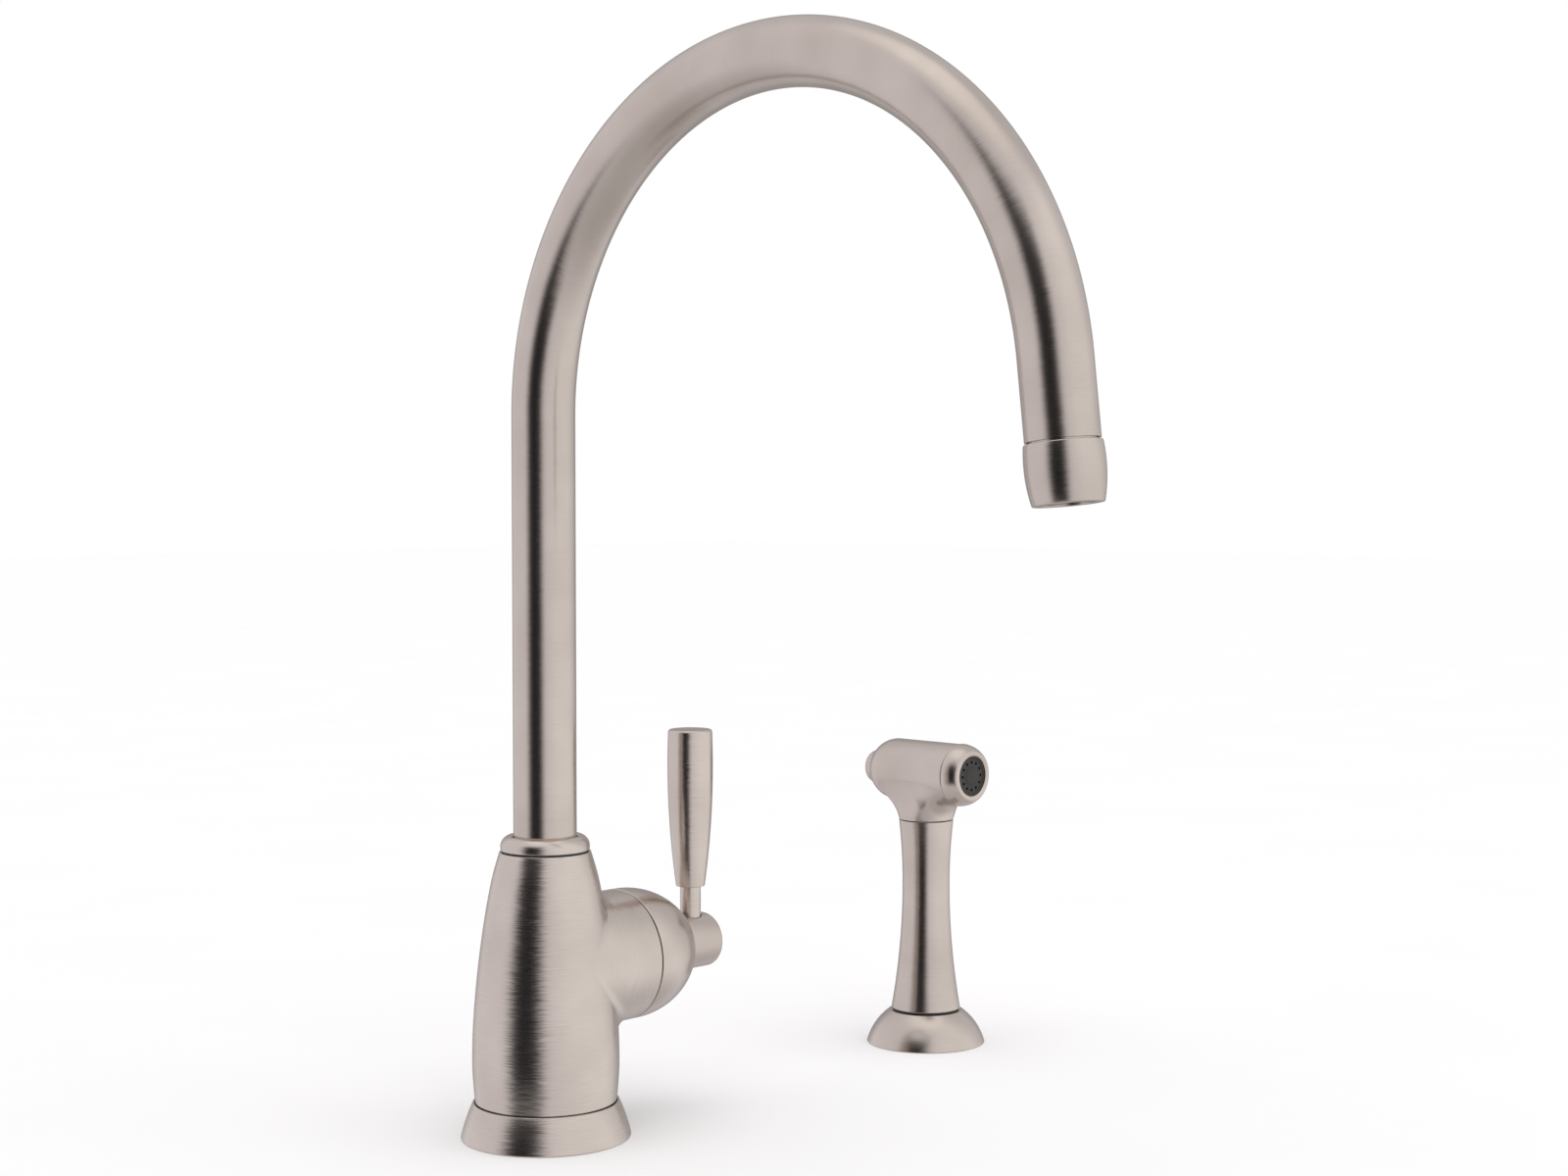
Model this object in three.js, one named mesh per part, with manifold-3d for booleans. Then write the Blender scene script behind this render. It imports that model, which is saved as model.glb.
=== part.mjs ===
// Side spray kitchen faucet: a single-lever faucet with a swivelling C spout, and its side spray standing
// beside it in a deck holder.
//
// Millimetres, +Z up. The origin is the centre of the faucet's foot, on the deck. The spout points to -Y,
// the valve hub and the side spray lie on +X. Pieces that move together share a group.

import * as THREE from "three";
import { mergeVertices } from "three/addons/utils/BufferGeometryUtils.js";
import Module from "manifold-3d";

const wasm = await Module();
wasm.setup();

// ---------------------------------------------------------------------------------------------------
// Driving dimensions
// ---------------------------------------------------------------------------------------------------

// Clearances
const FACE_GAP = 0.1; // between flat faces that rest on each other
const GAP = 0.3; // round a piece that is fitted and stays still
const RUNNING_GAP = 0.45; // round a piece that turns or slides
const BALL_GAP = 0.6; // between the lever's ball cover and the dome round it

// Base flange and body
const FLANGE_RADIUS = 30;
const FLANGE_HEIGHT = 12.6;
const FLANGE_BULGE = 0.35; // how far its side swells past a straight cone
const FLANGE_LIP = 0.5; // width of its top edge
const FOOT_RADIUS = 24.9; // body inside the flange
const BELLY_RADIUS = 25.85;
const NECK_RADIUS = 16.1; // body under the spout's collar
const BODY_HEIGHT = 100.6;
const GASKET_THICKNESS = 1.5;
const GASKET_RIM = 1.1; // metal left on each side of a gasket's groove
const GASKET_RECESS = 0.15; // how far a gasket stays above the deck

// Inlet plate in the foot, with a socket for each hose and for the mounting stud
const PLATE_RADIUS = 20;
const PLATE_THICKNESS = 12;
const SOCKET_RADIUS = 5.2;
const SOCKET_DEPTH = 9;
const SOCKET_CIRCLE = 11.5; // radius of the circle that the sockets stand on
const PASSAGE_RADIUS = 1.8; // from a socket into the body
const WATERWAY_RADIUS = 3; // upright ways inside the body
const CROSSWAY_RADIUS = 2.7; // ways across to the cartridge

// Valve hub and cartridge, along +X
const HUB_CROWN = 3; // metal between the cartridge's cavity and the spout's bore over it
const HUB_RADIUS = 23.55;
const HUB_FACE = 34.5; // from the faucet's axis
const CARTRIDGE_RADIUS = 17.5;
const CARTRIDGE_WALL = 3;
const CARTRIDGE_NECK_RADIUS = 14;
const CARTRIDGE_NECK_PROUD = 2; // past the hub's face
const CARTRIDGE_MOUTH_RADIUS = 9.5;
const CARTRIDGE_LEDGE = 1;
const CARTRIDGE_BASE_THICKNESS = 8.9;
const CARTRIDGE_SEAL_THICKNESS = 1.5;
const NUT_LENGTH = 6.4;
const NUT_THREAD_STEP = 3; // the nut's radius over the cartridge's
const FIXED_DISC_THICKNESS = 4;
const MIXING_DISC_THICKNESS = 5.4;
const MIXING_DISC_RADIUS = 9.3;
const DISC_PORT_RADIUS = 2.6;
const DISC_PORT_CIRCLE = 9;

// Dome and lever
const DOME_SKIRT = 3.2; // straight part of the dome
const DOME_LENGTH = 27.66; // from the skirt to the tip
const DOME_POWER = 1.92; // 2 would be an ellipse
const DOME_WALL = 2.25;
const LEVER_TILT = 18; // degrees
const COVER_WALL = 2;
const COVER_HALF_ANGLE = 58; // degrees, from the lever's axis to the ball cover's rim
const STEM_WIDTH = 7; // square part of the cartridge's stem
const STEM_BALL_RADIUS = 5.5;
const STEM_TAIL_RADIUS = 2.2;
const STEM_TIP_RADIUS = 2.6;
const STEM_TIP_SINK = 1.8; // centre of the tip below the mixing disc's top
const STEM_TIP_PLAY = 0.7;
const STEM_LENGTH = 13; // past the pivot, in the ball cover's socket
const COVER_BOSS_RADIUS = 7.5;
const COVER_BOSS_START = 5.5; // from the pivot
const STUB_RADIUS = 10;
const STUB_END = 40.5; // from the pivot
const STUB_EDGE = 1.2; // rounding of its end
const STUB_SPIGOT_RADIUS = 5;
const STUB_WEB = 1.3; // between the spigot's bore and the lever rod's
const SET_SCREW_RADIUS = 1.5;
const SET_SCREW_INSET = 2; // from the spigot's end
const SET_SCREW_SINK = 0.6; // its head under the stub's surface
const ROD_RADIUS = 3.85;
const ROD_FROM_END = 7.8; // lever rod's axis, from the stub's end
const ROD_SINK = 2.5; // how far the rod reaches past the stub's axis
const GRIP_START = 20.7; // from the stub's axis
const GRIP_LENGTH = 58.6;
const GRIP_FOOT_RADIUS = 5.35;
const GRIP_RADIUS = 8.45;
const GRIP_WIDEST = 0.77; // share of its length where it is widest
const GRIP_EDGE = 1.3; // rounding of its top
const ROD_IN_GRIP = 44;

// Spout
const TUBE_RADIUS = 11.1;
const TUBE_WALL = 0.9;
const BEND_HEIGHT = 252.8; // where the bend starts, above the deck
const BEND_RADIUS = 112.3;
const BEND_ANGLE = 173.3; // degrees
const SPOUT_DROP = 23.9; // straight end after the bend
const COLLAR_RADIUS = 15.6;
const COLLAR_HEIGHT = 6.4;
const COLLAR_EDGE = 0.9; // straight part under its round
const WASHER_THICKNESS = 0.6;
const SPIGOT_RADIUS = 9.5;
const SPIGOT_BORE = 6.8;
const SPIGOT_DEPTH = 20; // into the body
const SPIGOT_RISE = 20; // into the tube
const SPIGOT_SEAT = 2; // thickness of the ledge at its foot
const SPIGOT_SEAT_BORE = 4.2;
const ORING_WIRE = 0.75; // radius of an O-ring's section
const ORING_INSET = 5.3; // upper O-ring, below the body's top
const ORING_SPACING = 6.8;

// Diverter in the spout's spigot
const DIVERTER_RADIUS = 5.9;
const DIVERTER_THICKNESS = 4;
const DIVERTER_STEM_RADIUS = 1.7;
const DIVERTER_SPRING_LENGTH = 15.5;
const DIVERTER_SPRING_RADIUS = 3.6;
const DIVERTER_SPRING_WIRE = 0.45;
const DIVERTER_SPRING_TURNS = 5;
const DIVERTER_STEM_PROUD = 1; // past the retainer
const RETAINER_THICKNESS = 3;
const RETAINER_HOLE_RADIUS = 1.3;

// Aerator
const AERATOR_LENGTH = 18.1;
const AERATOR_TOP_RADIUS = 11.5;
const AERATOR_MOUTH_RADIUS = 10.5;
const AERATOR_BULGE = 0.82; // how far its side swells past a straight cone
const AERATOR_BORE = 8.7;
const AERATOR_NECK = 5; // up inside the tube
const AERATOR_LEDGE = 1.5;
const AERATOR_LEDGE_WIDTH = 0.8;
const AERATOR_SCREEN_LENGTH = 13.4;
const AERATOR_SCREEN_WALL = 1.2;
const AERATOR_GRID_THICKNESS = 2;
const AERATOR_GRID_HOLE = 1.4; // radius
const AERATOR_GRID_CIRCLE = 4.6;
const AERATOR_GRID_COUNT = 6; // holes round the middle one
const AERATOR_WASHER_THICKNESS = 1.6;
const AERATOR_WASHER_WIDTH = 2.9;

// Side spray's deck flange and holder
const SPRAY_SPACING = 205.2; // from the faucet's axis
const SPRAY_FLANGE_RADIUS = 24.2;
const SPRAY_FLANGE_TOP_RADIUS = 14.9;
const SPRAY_FLANGE_HEIGHT = 13.3;
const SPRAY_FLANGE_BULGE = 1.4;
const SPRAY_GASKET_WIDTH = 4.4;
const SLEEVE_WALL = 2.2;
const SLEEVE_RIM_THICKNESS = 0.6;
const SLEEVE_RIM_RADIUS = 13.4;

// Handset
const TAIL_RADIUS = 9.9; // part of the handle that stands in the holder
const TAIL_LENGTH = 11.5;
const HANDLE_FOOT_RADIUS = 14.1;
const HANDLE_WAIST_RADIUS = 9.65;
const HANDLE_TOP_RADIUS = 11.15;
const HANDLE_LENGTH = 77.6; // over the holder
const HANDLE_WAIST = 51.4; // from its foot to its waist
const HANDLE_BORE = 7.5;
const CONNECTOR_LENGTH = 14; // in the handle's bore
const CONNECTOR_NIPPLE_RADIUS = 5;
const CONNECTOR_NIPPLE_LENGTH = 10;
const CONNECTOR_BORE = 1.9;
const HEAD_AXIS = 19.7; // height of the head's barrel over the handle's top
const HEAD_RADIUS = 12.5;
const HEAD_REAR = 25;
const HEAD_FRONT = 17.9;
const HEAD_ROUND = 12; // rounding of its rear end
const HEAD_NECK_FLARE = 1.2;
const HEAD_SPIGOT_LENGTH = 11.8; // into the handle
const HEAD_BORE = 5;
const CHAMBER_RADIUS = 8.6;
const CHAMBER_REAR = 16;
const VALVE_SEAT = 7.3; // middle of the seat's wall, in front of the handle's axis
const VALVE_SEAT_THICKNESS = 2.5;
const VALVE_SEAT_BORE = 3.6;
const NOZZLE_RADIUS = 12.7;
const NOZZLE_LENGTH = 7.5;
const NOZZLE_ROUND = 6;
const NOZZLE_MOUTH_RADIUS = 8.35;
const NOZZLE_LIP = 2.1;
const FACE_RIM_THICKNESS = 1.4;
const FACE_SINK = 0.9; // front of the spray face behind the ring's front
const FACE_HOLES = 12;
const FACE_HOLE_RADIUS = 0.6;
const FACE_HOLE_CIRCLE = 5.6;
const HEAD_THREAD_RADIUS = 10.3;
const HEAD_THREAD_LENGTH = 3;
const BUTTON_RADIUS = 6.8;
const BUTTON_PROUD = 5.5; // past the head's rear end
const BUTTON_DOME = 2.2;
const BUTTON_FLANGE_THICKNESS = 2.7;
const BUTTON_STEM_SINK = 4;
const VALVE_STEM_RADIUS = 1.5;
const VALVE_SEAL_THICKNESS = 1.2;
const VALVE_HEAD_RADIUS = 5.2;
const VALVE_HEAD_THICKNESS = 1.8;
const BUTTON_SPRING_RADIUS = 4.6;
const BUTTON_SPRING_WIRE = 0.55;
const BUTTON_SPRING_TURNS = 5;

// How finely round shapes are cut
const FINE_RADIUS = 14; // a turned piece wider than this has FINE_SIDES
const FINE_SIDES = 24;
const SIDES = 20;
const SMALL_RADIUS = 6; // a turned piece narrower than this has SMALL_SIDES
const SMALL_SIDES = 12;
const WAY_SIDES = 8; // waterways, ports and small screws
const ORING_STEPS = 6;
const BEND_STEPS = 24;
const DOME_STEPS = 8;
const FLANGE_STEPS = 5;
const COLLAR_STEPS = 5;
const GRIP_STEPS = 7;
const HANDLE_STEPS = 8;
const NECK_STEPS = 3;
const BUTTON_STEPS = 4;
const SPRING_STEPS = 8; // in each turn
const SPRING_SIDES = 5;

// ---------------------------------------------------------------------------------------------------
// Materials
// ---------------------------------------------------------------------------------------------------

const satinNickel = () => new THREE.MeshStandardMaterial({ color: 0xc8bcb4, roughness: 0.34, metalness: 1 });
const brass = () => new THREE.MeshStandardMaterial({ color: 0xb8975a, roughness: 0.4, metalness: 1 });
const steel = () => new THREE.MeshStandardMaterial({ color: 0xb9bbbd, roughness: 0.35, metalness: 1 });
const ceramic = () => new THREE.MeshStandardMaterial({ color: 0xf1efe9, roughness: 0.25, metalness: 0 });
const blackPlastic = () => new THREE.MeshStandardMaterial({ color: 0x2b2b2d, roughness: 0.5, metalness: 0 });
const whitePlastic = () => new THREE.MeshStandardMaterial({ color: 0xe6e4de, roughness: 0.5, metalness: 0 });
const blackRubber = () => new THREE.MeshStandardMaterial({ color: 0x161616, roughness: 0.8, metalness: 0 });

// ---------------------------------------------------------------------------------------------------
// Shapes
// ---------------------------------------------------------------------------------------------------

const radians = THREE.MathUtils.degToRad;

function sidesFor(radius) {
  if (radius > FINE_RADIUS) return FINE_SIDES;
  return radius < SMALL_RADIUS ? SMALL_SIDES : SIDES;
}

// Points of a circle's arc in a profile, between two angles in degrees from the radial direction.
function arc(centreRadius, centreHeight, radius, from, to, steps) {
  const points = [];
  for (let i = 0; i <= steps; i += 1) {
    const angle = radians(from + ((to - from) * i) / steps);
    points.push([centreRadius + radius * Math.cos(angle), centreHeight + radius * Math.sin(angle)]);
  }
  return points;
}

// Points from one point of a profile to another, along a parabola that swells by bulge at the middle.
function swell([r0, z0], [r1, z1], bulge, steps) {
  const length = Math.hypot(r1 - r0, z1 - z0);
  const points = [];
  for (let i = 0; i <= steps; i += 1) {
    const t = i / steps;
    const out = (4 * t * (1 - t) * bulge) / length;
    points.push([r0 + (r1 - r0) * t + (z1 - z0) * out, z0 + (z1 - z0) * t + (r0 - r1) * out]);
  }
  return points;
}

// A solid of revolution about Z. The profile lists [radius, height] and closes on itself or on the axis.
function turned(profile, sides) {
  const points = profile.map(([radius, height]) => new THREE.Vector2(radius, height));
  const widest = Math.max(...points.map((point) => point.x));
  const openOnAxis = points[0].x === 0 && points.at(-1).x === 0;
  if (!openOnAxis) points.push(points[0].clone());
  if (THREE.ShapeUtils.area(points) < 0) points.reverse();
  return new THREE.LatheGeometry(points, sides ?? sidesFor(widest)).rotateX(Math.PI / 2);
}

// A cylinder along Z from one height to another.
function rod(radius, bottom, top, sides) {
  return turned([[0, bottom], [radius, bottom], [radius, top], [0, top]], sides);
}

// A plain ring along Z.
function ring(inner, outer, bottom, top) {
  return turned([[inner, bottom], [outer, bottom], [outer, top], [inner, top]]);
}

// An O-ring round Z.
function oring(radius, height) {
  return turned(arc(radius, height, ORING_WIRE, 0, 360, ORING_STEPS).slice(1), SMALL_SIDES);
}

const alongX = (geometry) => geometry.rotateY(Math.PI / 2);
const alongY = (geometry) => geometry.rotateX(-Math.PI / 2);

// A mesh's geometry as a solid that can be joined and cut.
function solidOf(geometry) {
  const bare = geometry.clone();
  bare.deleteAttribute("normal");
  bare.deleteAttribute("uv");
  const merged = mergeVertices(bare, 1e-4);
  const corners = merged.index.array;
  const triangles = [];
  for (let i = 0; i < corners.length; i += 3) {
    const [a, b, c] = corners.slice(i, i + 3);
    if (a !== b && b !== c && c !== a) triangles.push(a, b, c);
  }
  const mesh = new wasm.Mesh({
    numProp: 3,
    vertProperties: merged.attributes.position.array,
    triVerts: new Uint32Array(triangles),
  });
  return new wasm.Manifold(mesh);
}

function geometryOf(solid) {
  const { vertProperties, triVerts } = solid.getMesh();
  return new THREE.BufferGeometry()
    .setAttribute("position", new THREE.BufferAttribute(vertProperties, 3))
    .setIndex(new THREE.BufferAttribute(triVerts, 1));
}

function joined(...geometries) {
  return geometryOf(geometries.map(solidOf).reduce((whole, piece) => whole.add(piece)));
}

function cut(geometry, ...tools) {
  return geometryOf(tools.map(solidOf).reduce((whole, tool) => whole.subtract(tool), solidOf(geometry)));
}

// A curve whose equal steps of t are the steps of the tube swept along it.
class SteppedCurve extends THREE.Curve {
  getPointAt(u, target) {
    return this.getPoint(u, target);
  }
  getTangentAt(u, target) {
    return this.getTangent(u, target);
  }
}

// Straight rise, bend towards -Y and straight drop. The rise and the drop take one step each.
class SpoutCurve extends SteppedCurve {
  constructor(start) {
    super();
    this.start = start;
    this.steps = BEND_STEPS + 2;
  }
  angleAt(t) {
    const step = THREE.MathUtils.clamp(t * this.steps - 1, 0, BEND_STEPS);
    return (radians(BEND_ANGLE) * step) / BEND_STEPS;
  }
  getPoint(t, target = new THREE.Vector3()) {
    const angle = this.angleAt(t);
    const below = (BEND_HEIGHT - this.start) * Math.max(0, 1 - t * this.steps);
    const past = SPOUT_DROP * Math.max(0, t * this.steps - BEND_STEPS - 1);
    return target.set(
      0,
      BEND_RADIUS * (Math.cos(angle) - 1) - past * Math.sin(angle),
      BEND_HEIGHT - below + BEND_RADIUS * Math.sin(angle) + past * Math.cos(angle),
    );
  }
  getTangent(t, target = new THREE.Vector3()) {
    const angle = this.angleAt(t);
    return target.set(0, -Math.sin(angle), Math.cos(angle));
  }
}

// A spring's wire: a helix round Z.
class SpringCurve extends SteppedCurve {
  constructor(radius, length, turns) {
    super();
    Object.assign(this, { radius, length, turns });
  }
  getPoint(t, target = new THREE.Vector3()) {
    const angle = 2 * Math.PI * this.turns * t;
    return target.set(this.radius * Math.cos(angle), this.radius * Math.sin(angle), this.length * t);
  }
}

function circleShape(radius, sides) {
  const points = [];
  for (let i = 0; i < sides; i += 1) {
    const angle = (2 * Math.PI * i) / sides;
    points.push(new THREE.Vector2(radius * Math.cos(angle), radius * Math.sin(angle)));
  }
  return new THREE.Shape(points);
}

// A coil spring standing on a height, its wire's outside included in its length.
function spring(radius, wire, turns, bottom, length) {
  const curve = new SpringCurve(radius, length - 2 * wire, turns);
  const options = { extrudePath: curve, steps: turns * SPRING_STEPS, bevelEnabled: false };
  return new THREE.ExtrudeGeometry(circleShape(wire, SPRING_SIDES), options).translate(0, 0, bottom + wire);
}

function mesh(name, geometry, material) {
  const made = new THREE.Mesh(geometry, material);
  made.name = name;
  return made;
}

function group(x, y, z) {
  const made = new THREE.Group();
  made.position.set(x, y, z);
  return made;
}

// ---------------------------------------------------------------------------------------------------
// Places that several pieces share
// ---------------------------------------------------------------------------------------------------

// Along the faucet's axis
const boreRadius = SPIGOT_RADIUS + RUNNING_GAP;
const spigotFoot = BODY_HEIGHT - SPIGOT_DEPTH;
const boreFloor = spigotFoot - GAP;
const washerTop = BODY_HEIGHT + FACE_GAP + WASHER_THICKNESS;
const collarFoot = washerTop + FACE_GAP;
const tubeBore = TUBE_RADIUS - TUBE_WALL;
const plateTop = PLATE_THICKNESS;
const hubHeight = boreFloor - HUB_CROWN - CARTRIDGE_RADIUS - GAP;

// Along the hub's axis, from the faucet's axis
const nutOuter = HUB_FACE - GAP;
const nutInner = nutOuter - NUT_LENGTH;
const nutRadius = CARTRIDGE_RADIUS + NUT_THREAD_STEP;
const shoulder = nutInner - FACE_GAP;
const chamberTop = shoulder - CARTRIDGE_LEDGE;
const mixingDiscTop = chamberTop - RUNNING_GAP;
const mixingDiscFoot = mixingDiscTop - MIXING_DISC_THICKNESS;
const fixedDiscTop = mixingDiscFoot - FACE_GAP;
const fixedDiscFoot = fixedDiscTop - FIXED_DISC_THICKNESS;
const cartridgeBaseTop = fixedDiscFoot - FACE_GAP;
const cartridgeFoot = cartridgeBaseTop - CARTRIDGE_BASE_THICKNESS;
const sealTop = cartridgeFoot - FACE_GAP;
const sealFoot = sealTop - CARTRIDGE_SEAL_THICKNESS;
const cavityFloor = sealFoot - FACE_GAP;
const cartridgeChamber = CARTRIDGE_RADIUS - CARTRIDGE_WALL;
const cartridgeNeckEnd = HUB_FACE + CARTRIDGE_NECK_PROUD;
const domeFoot = HUB_FACE + GAP;
const pivot = domeFoot + DOME_SKIRT; // the lever tilts about this point of the hub's axis

// From the pivot
const domeBore = HUB_RADIUS - DOME_WALL;
const coverRadius = domeBore - BALL_GAP;
const stubFoot = coverRadius + GAP;
const rodPlace = STUB_END - ROD_FROM_END;
const rodBore = ROD_RADIUS + GAP;
const stubSpigotEnd = rodPlace - rodBore - STUB_WEB - GAP;
const screwPlace = stubSpigotEnd - SET_SCREW_INSET;
const stemTip = mixingDiscTop - STEM_TIP_SINK - pivot;

// Side spray, above the deck
const sleeveBore = TAIL_RADIUS + RUNNING_GAP;
const sleeveRadius = sleeveBore + SLEEVE_WALL;
const sleeveRimFoot = SPRAY_FLANGE_HEIGHT + FACE_GAP;
const handleFoot = sleeveRimFoot + SLEEVE_RIM_THICKNESS + FACE_GAP;
const handleTop = handleFoot + HANDLE_LENGTH;
const tailFoot = handleFoot - TAIL_LENGTH;
const headFoot = handleTop + GAP;
const headAxis = handleTop + HEAD_AXIS;
const connectorRadius = HANDLE_BORE - RUNNING_GAP;

// Along the spray head's barrel, towards the rear (+Y)
const seatFront = -VALVE_SEAT - VALVE_SEAT_THICKNESS / 2;
const seatRear = -VALVE_SEAT + VALVE_SEAT_THICKNESS / 2;
const threadFront = -HEAD_FRONT - HEAD_THREAD_LENGTH;
const nozzleRear = -HEAD_FRONT - GAP;
const nozzleFront = nozzleRear - NOZZLE_LENGTH;
const faceFront = nozzleFront + FACE_SINK;
const faceRimFront = nozzleFront + NOZZLE_LIP + FACE_GAP;
const faceRear = faceRimFront + FACE_RIM_THICKNESS;
const buttonFlangeRear = CHAMBER_REAR - GAP;
const buttonFlangeFront = buttonFlangeRear - BUTTON_FLANGE_THICKNESS;

// ---------------------------------------------------------------------------------------------------
// Foot and body
// ---------------------------------------------------------------------------------------------------

// A ring that stands on the deck with a gasket's groove in its underside.
function flangeProfile(bore, outline, grooveInner, grooveOuter) {
  const grooveTop = GASKET_RECESS + GASKET_THICKNESS + FACE_GAP;
  return [
    [bore, 0],
    [grooveInner, 0],
    [grooveInner, grooveTop],
    [grooveOuter, grooveTop],
    [grooveOuter, 0],
    ...outline,
    [bore, outline.at(-1)[1]],
  ];
}

function gasket(grooveInner, grooveOuter) {
  return ring(grooveInner + GAP, grooveOuter - GAP, GASKET_RECESS, GASKET_RECESS + GASKET_THICKNESS);
}

function makeBaseFlange() {
  const bore = FOOT_RADIUS + GAP;
  const outline = swell([FLANGE_RADIUS, 0], [bore + FLANGE_LIP, FLANGE_HEIGHT], FLANGE_BULGE, FLANGE_STEPS);
  const grooveInner = bore + GASKET_RIM;
  const grooveOuter = FLANGE_RADIUS - GASKET_RIM;
  return [
    mesh("base_flange", turned(flangeProfile(bore, outline, grooveInner, grooveOuter)), satinNickel()),
    mesh("base_gasket", gasket(grooveInner, grooveOuter), blackRubber()),
  ];
}

// Places of the sockets round the plate: hot, spray, cold and stud, a quarter turn apart.
const SOCKETS = { hot: 90, spray: 180, cold: 270, stud: 0 };

function socketPlace(name) {
  const angle = radians(SOCKETS[name]);
  return [SOCKET_CIRCLE * Math.cos(angle), SOCKET_CIRCLE * Math.sin(angle)];
}

function makeInletPlate() {
  const tools = [];
  for (const name of Object.keys(SOCKETS)) {
    const [x, y] = socketPlace(name);
    tools.push(rod(SOCKET_RADIUS, -1, SOCKET_DEPTH).translate(x, y, 0));
    if (name !== "stud") tools.push(rod(PASSAGE_RADIUS, 0, plateTop + 1, 8).translate(x, y, 0));
  }
  return mesh("inlet_plate", cut(rod(PLATE_RADIUS, 0, plateTop), ...tools), brass());
}

// The body's outline above the flange, as shares of its height and of its swell from neck to belly.
const BODY_OUTLINE = [[0.17, 1], [0.36, 0.92], [0.52, 0.8], [0.68, 0.6], [0.84, 0.36], [0.92, 0.215]];

function bodyShell() {
  const rise = BODY_HEIGHT - FLANGE_HEIGHT;
  const outline = BODY_OUTLINE.map(([up, out]) => [
    NECK_RADIUS + (BELLY_RADIUS - NECK_RADIUS) * out,
    FLANGE_HEIGHT + rise * up,
  ]);
  const recess = PLATE_RADIUS + GAP;
  return turned([
    [0, plateTop + FACE_GAP],
    [recess, plateTop + FACE_GAP],
    [recess, 0],
    [FOOT_RADIUS, 0],
    [FOOT_RADIUS, FLANGE_HEIGHT],
    ...outline,
    [NECK_RADIUS, BODY_HEIGHT],
    [0, BODY_HEIGHT],
  ]);
}

// Hollows cored and bored in the body: the cartridge's, the spout's and the ways between the sockets
// and them.
function bodyHollows() {
  const cavity = turned([
    [0, cavityFloor],
    [CARTRIDGE_RADIUS + GAP, cavityFloor],
    [CARTRIDGE_RADIUS + GAP, shoulder],
    [nutRadius + GAP, shoulder],
    [nutRadius + GAP, HUB_FACE + 1],
    [0, HUB_FACE + 1],
  ]);
  const outletHeight = hubHeight + DISC_PORT_CIRCLE;
  const sprayWayTop = boreFloor + 2 * WATERWAY_RADIUS;
  const across = () => alongX(rod(CROSSWAY_RADIUS, 0, cavityFloor + 1, WAY_SIDES));
  const hollows = [
    alongX(cavity).translate(0, 0, hubHeight),
    rod(boreRadius, boreFloor, BODY_HEIGHT + 1),
    across().translate(0, 0, outletHeight),
    rod(WATERWAY_RADIUS, outletHeight, boreFloor + 1, WAY_SIDES),
    rod(WATERWAY_RADIUS, plateTop, sprayWayTop, WAY_SIDES).translate(...socketPlace("spray"), 0),
  ];
  for (const name of ["hot", "cold"]) {
    const [x, y] = socketPlace(name);
    hollows.push(rod(WATERWAY_RADIUS, plateTop, hubHeight, WAY_SIDES).translate(x, y, 0));
    hollows.push(across().translate(x, y, hubHeight - CROSSWAY_RADIUS));
  }
  return hollows;
}

function makeBody() {
  const hub = alongX(rod(HUB_RADIUS, 0, HUB_FACE)).translate(0, 0, hubHeight);
  return mesh("body", cut(joined(bodyShell(), hub), ...bodyHollows()), satinNickel());
}

// ---------------------------------------------------------------------------------------------------
// Cartridge, turned about the hub's axis
// ---------------------------------------------------------------------------------------------------

// A disc with the two inlets' ports and the outlet's.
function portedDisc(radius, bottom, top) {
  const ports = [60, 180, 300].map((angle) => {
    const x = DISC_PORT_CIRCLE * Math.cos(radians(angle));
    const y = DISC_PORT_CIRCLE * Math.sin(radians(angle));
    return rod(DISC_PORT_RADIUS, bottom - 1, top + 1, WAY_SIDES).translate(x, y, 0);
  });
  return alongX(cut(rod(radius, bottom, top), ...ports));
}

function makeCartridge() {
  const shell = turned([
    [cartridgeChamber, cartridgeFoot],
    [CARTRIDGE_RADIUS, cartridgeFoot],
    [CARTRIDGE_RADIUS, shoulder - FACE_GAP],
    [CARTRIDGE_NECK_RADIUS, shoulder - FACE_GAP],
    [CARTRIDGE_NECK_RADIUS, cartridgeNeckEnd],
    [CARTRIDGE_MOUTH_RADIUS, cartridgeNeckEnd],
    [CARTRIDGE_MOUTH_RADIUS, chamberTop],
    [cartridgeChamber, chamberTop],
  ]);
  const packed = cartridgeChamber - GAP;
  const nut = ring(CARTRIDGE_NECK_RADIUS + GAP, nutRadius, nutInner, nutOuter);
  return [
    mesh("cartridge_shell", alongX(shell), whitePlastic()),
    mesh("cartridge_base", portedDisc(packed, cartridgeFoot, cartridgeBaseTop), whitePlastic()),
    mesh("cartridge_seal", portedDisc(CARTRIDGE_RADIUS - GAP, sealFoot, sealTop), blackRubber()),
    mesh("fixed_disc", portedDisc(packed, fixedDiscFoot, fixedDiscTop), ceramic()),
    mesh("cartridge_nut", alongX(nut), brass()),
  ];
}

function makeMixingDisc() {
  const socket = STEM_TIP_RADIUS + STEM_TIP_PLAY;
  const socketFloor = mixingDiscTop - STEM_TIP_SINK - STEM_TIP_RADIUS - GAP;
  const disc = turned([
    [0, mixingDiscFoot],
    [MIXING_DISC_RADIUS, mixingDiscFoot],
    [MIXING_DISC_RADIUS, mixingDiscTop],
    [socket, mixingDiscTop],
    [socket, socketFloor],
    [0, socketFloor],
  ]);
  return mesh("mixing_disc", alongX(disc), ceramic());
}

// ---------------------------------------------------------------------------------------------------
// Dome and lever, measured from the pivot
// ---------------------------------------------------------------------------------------------------

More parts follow.
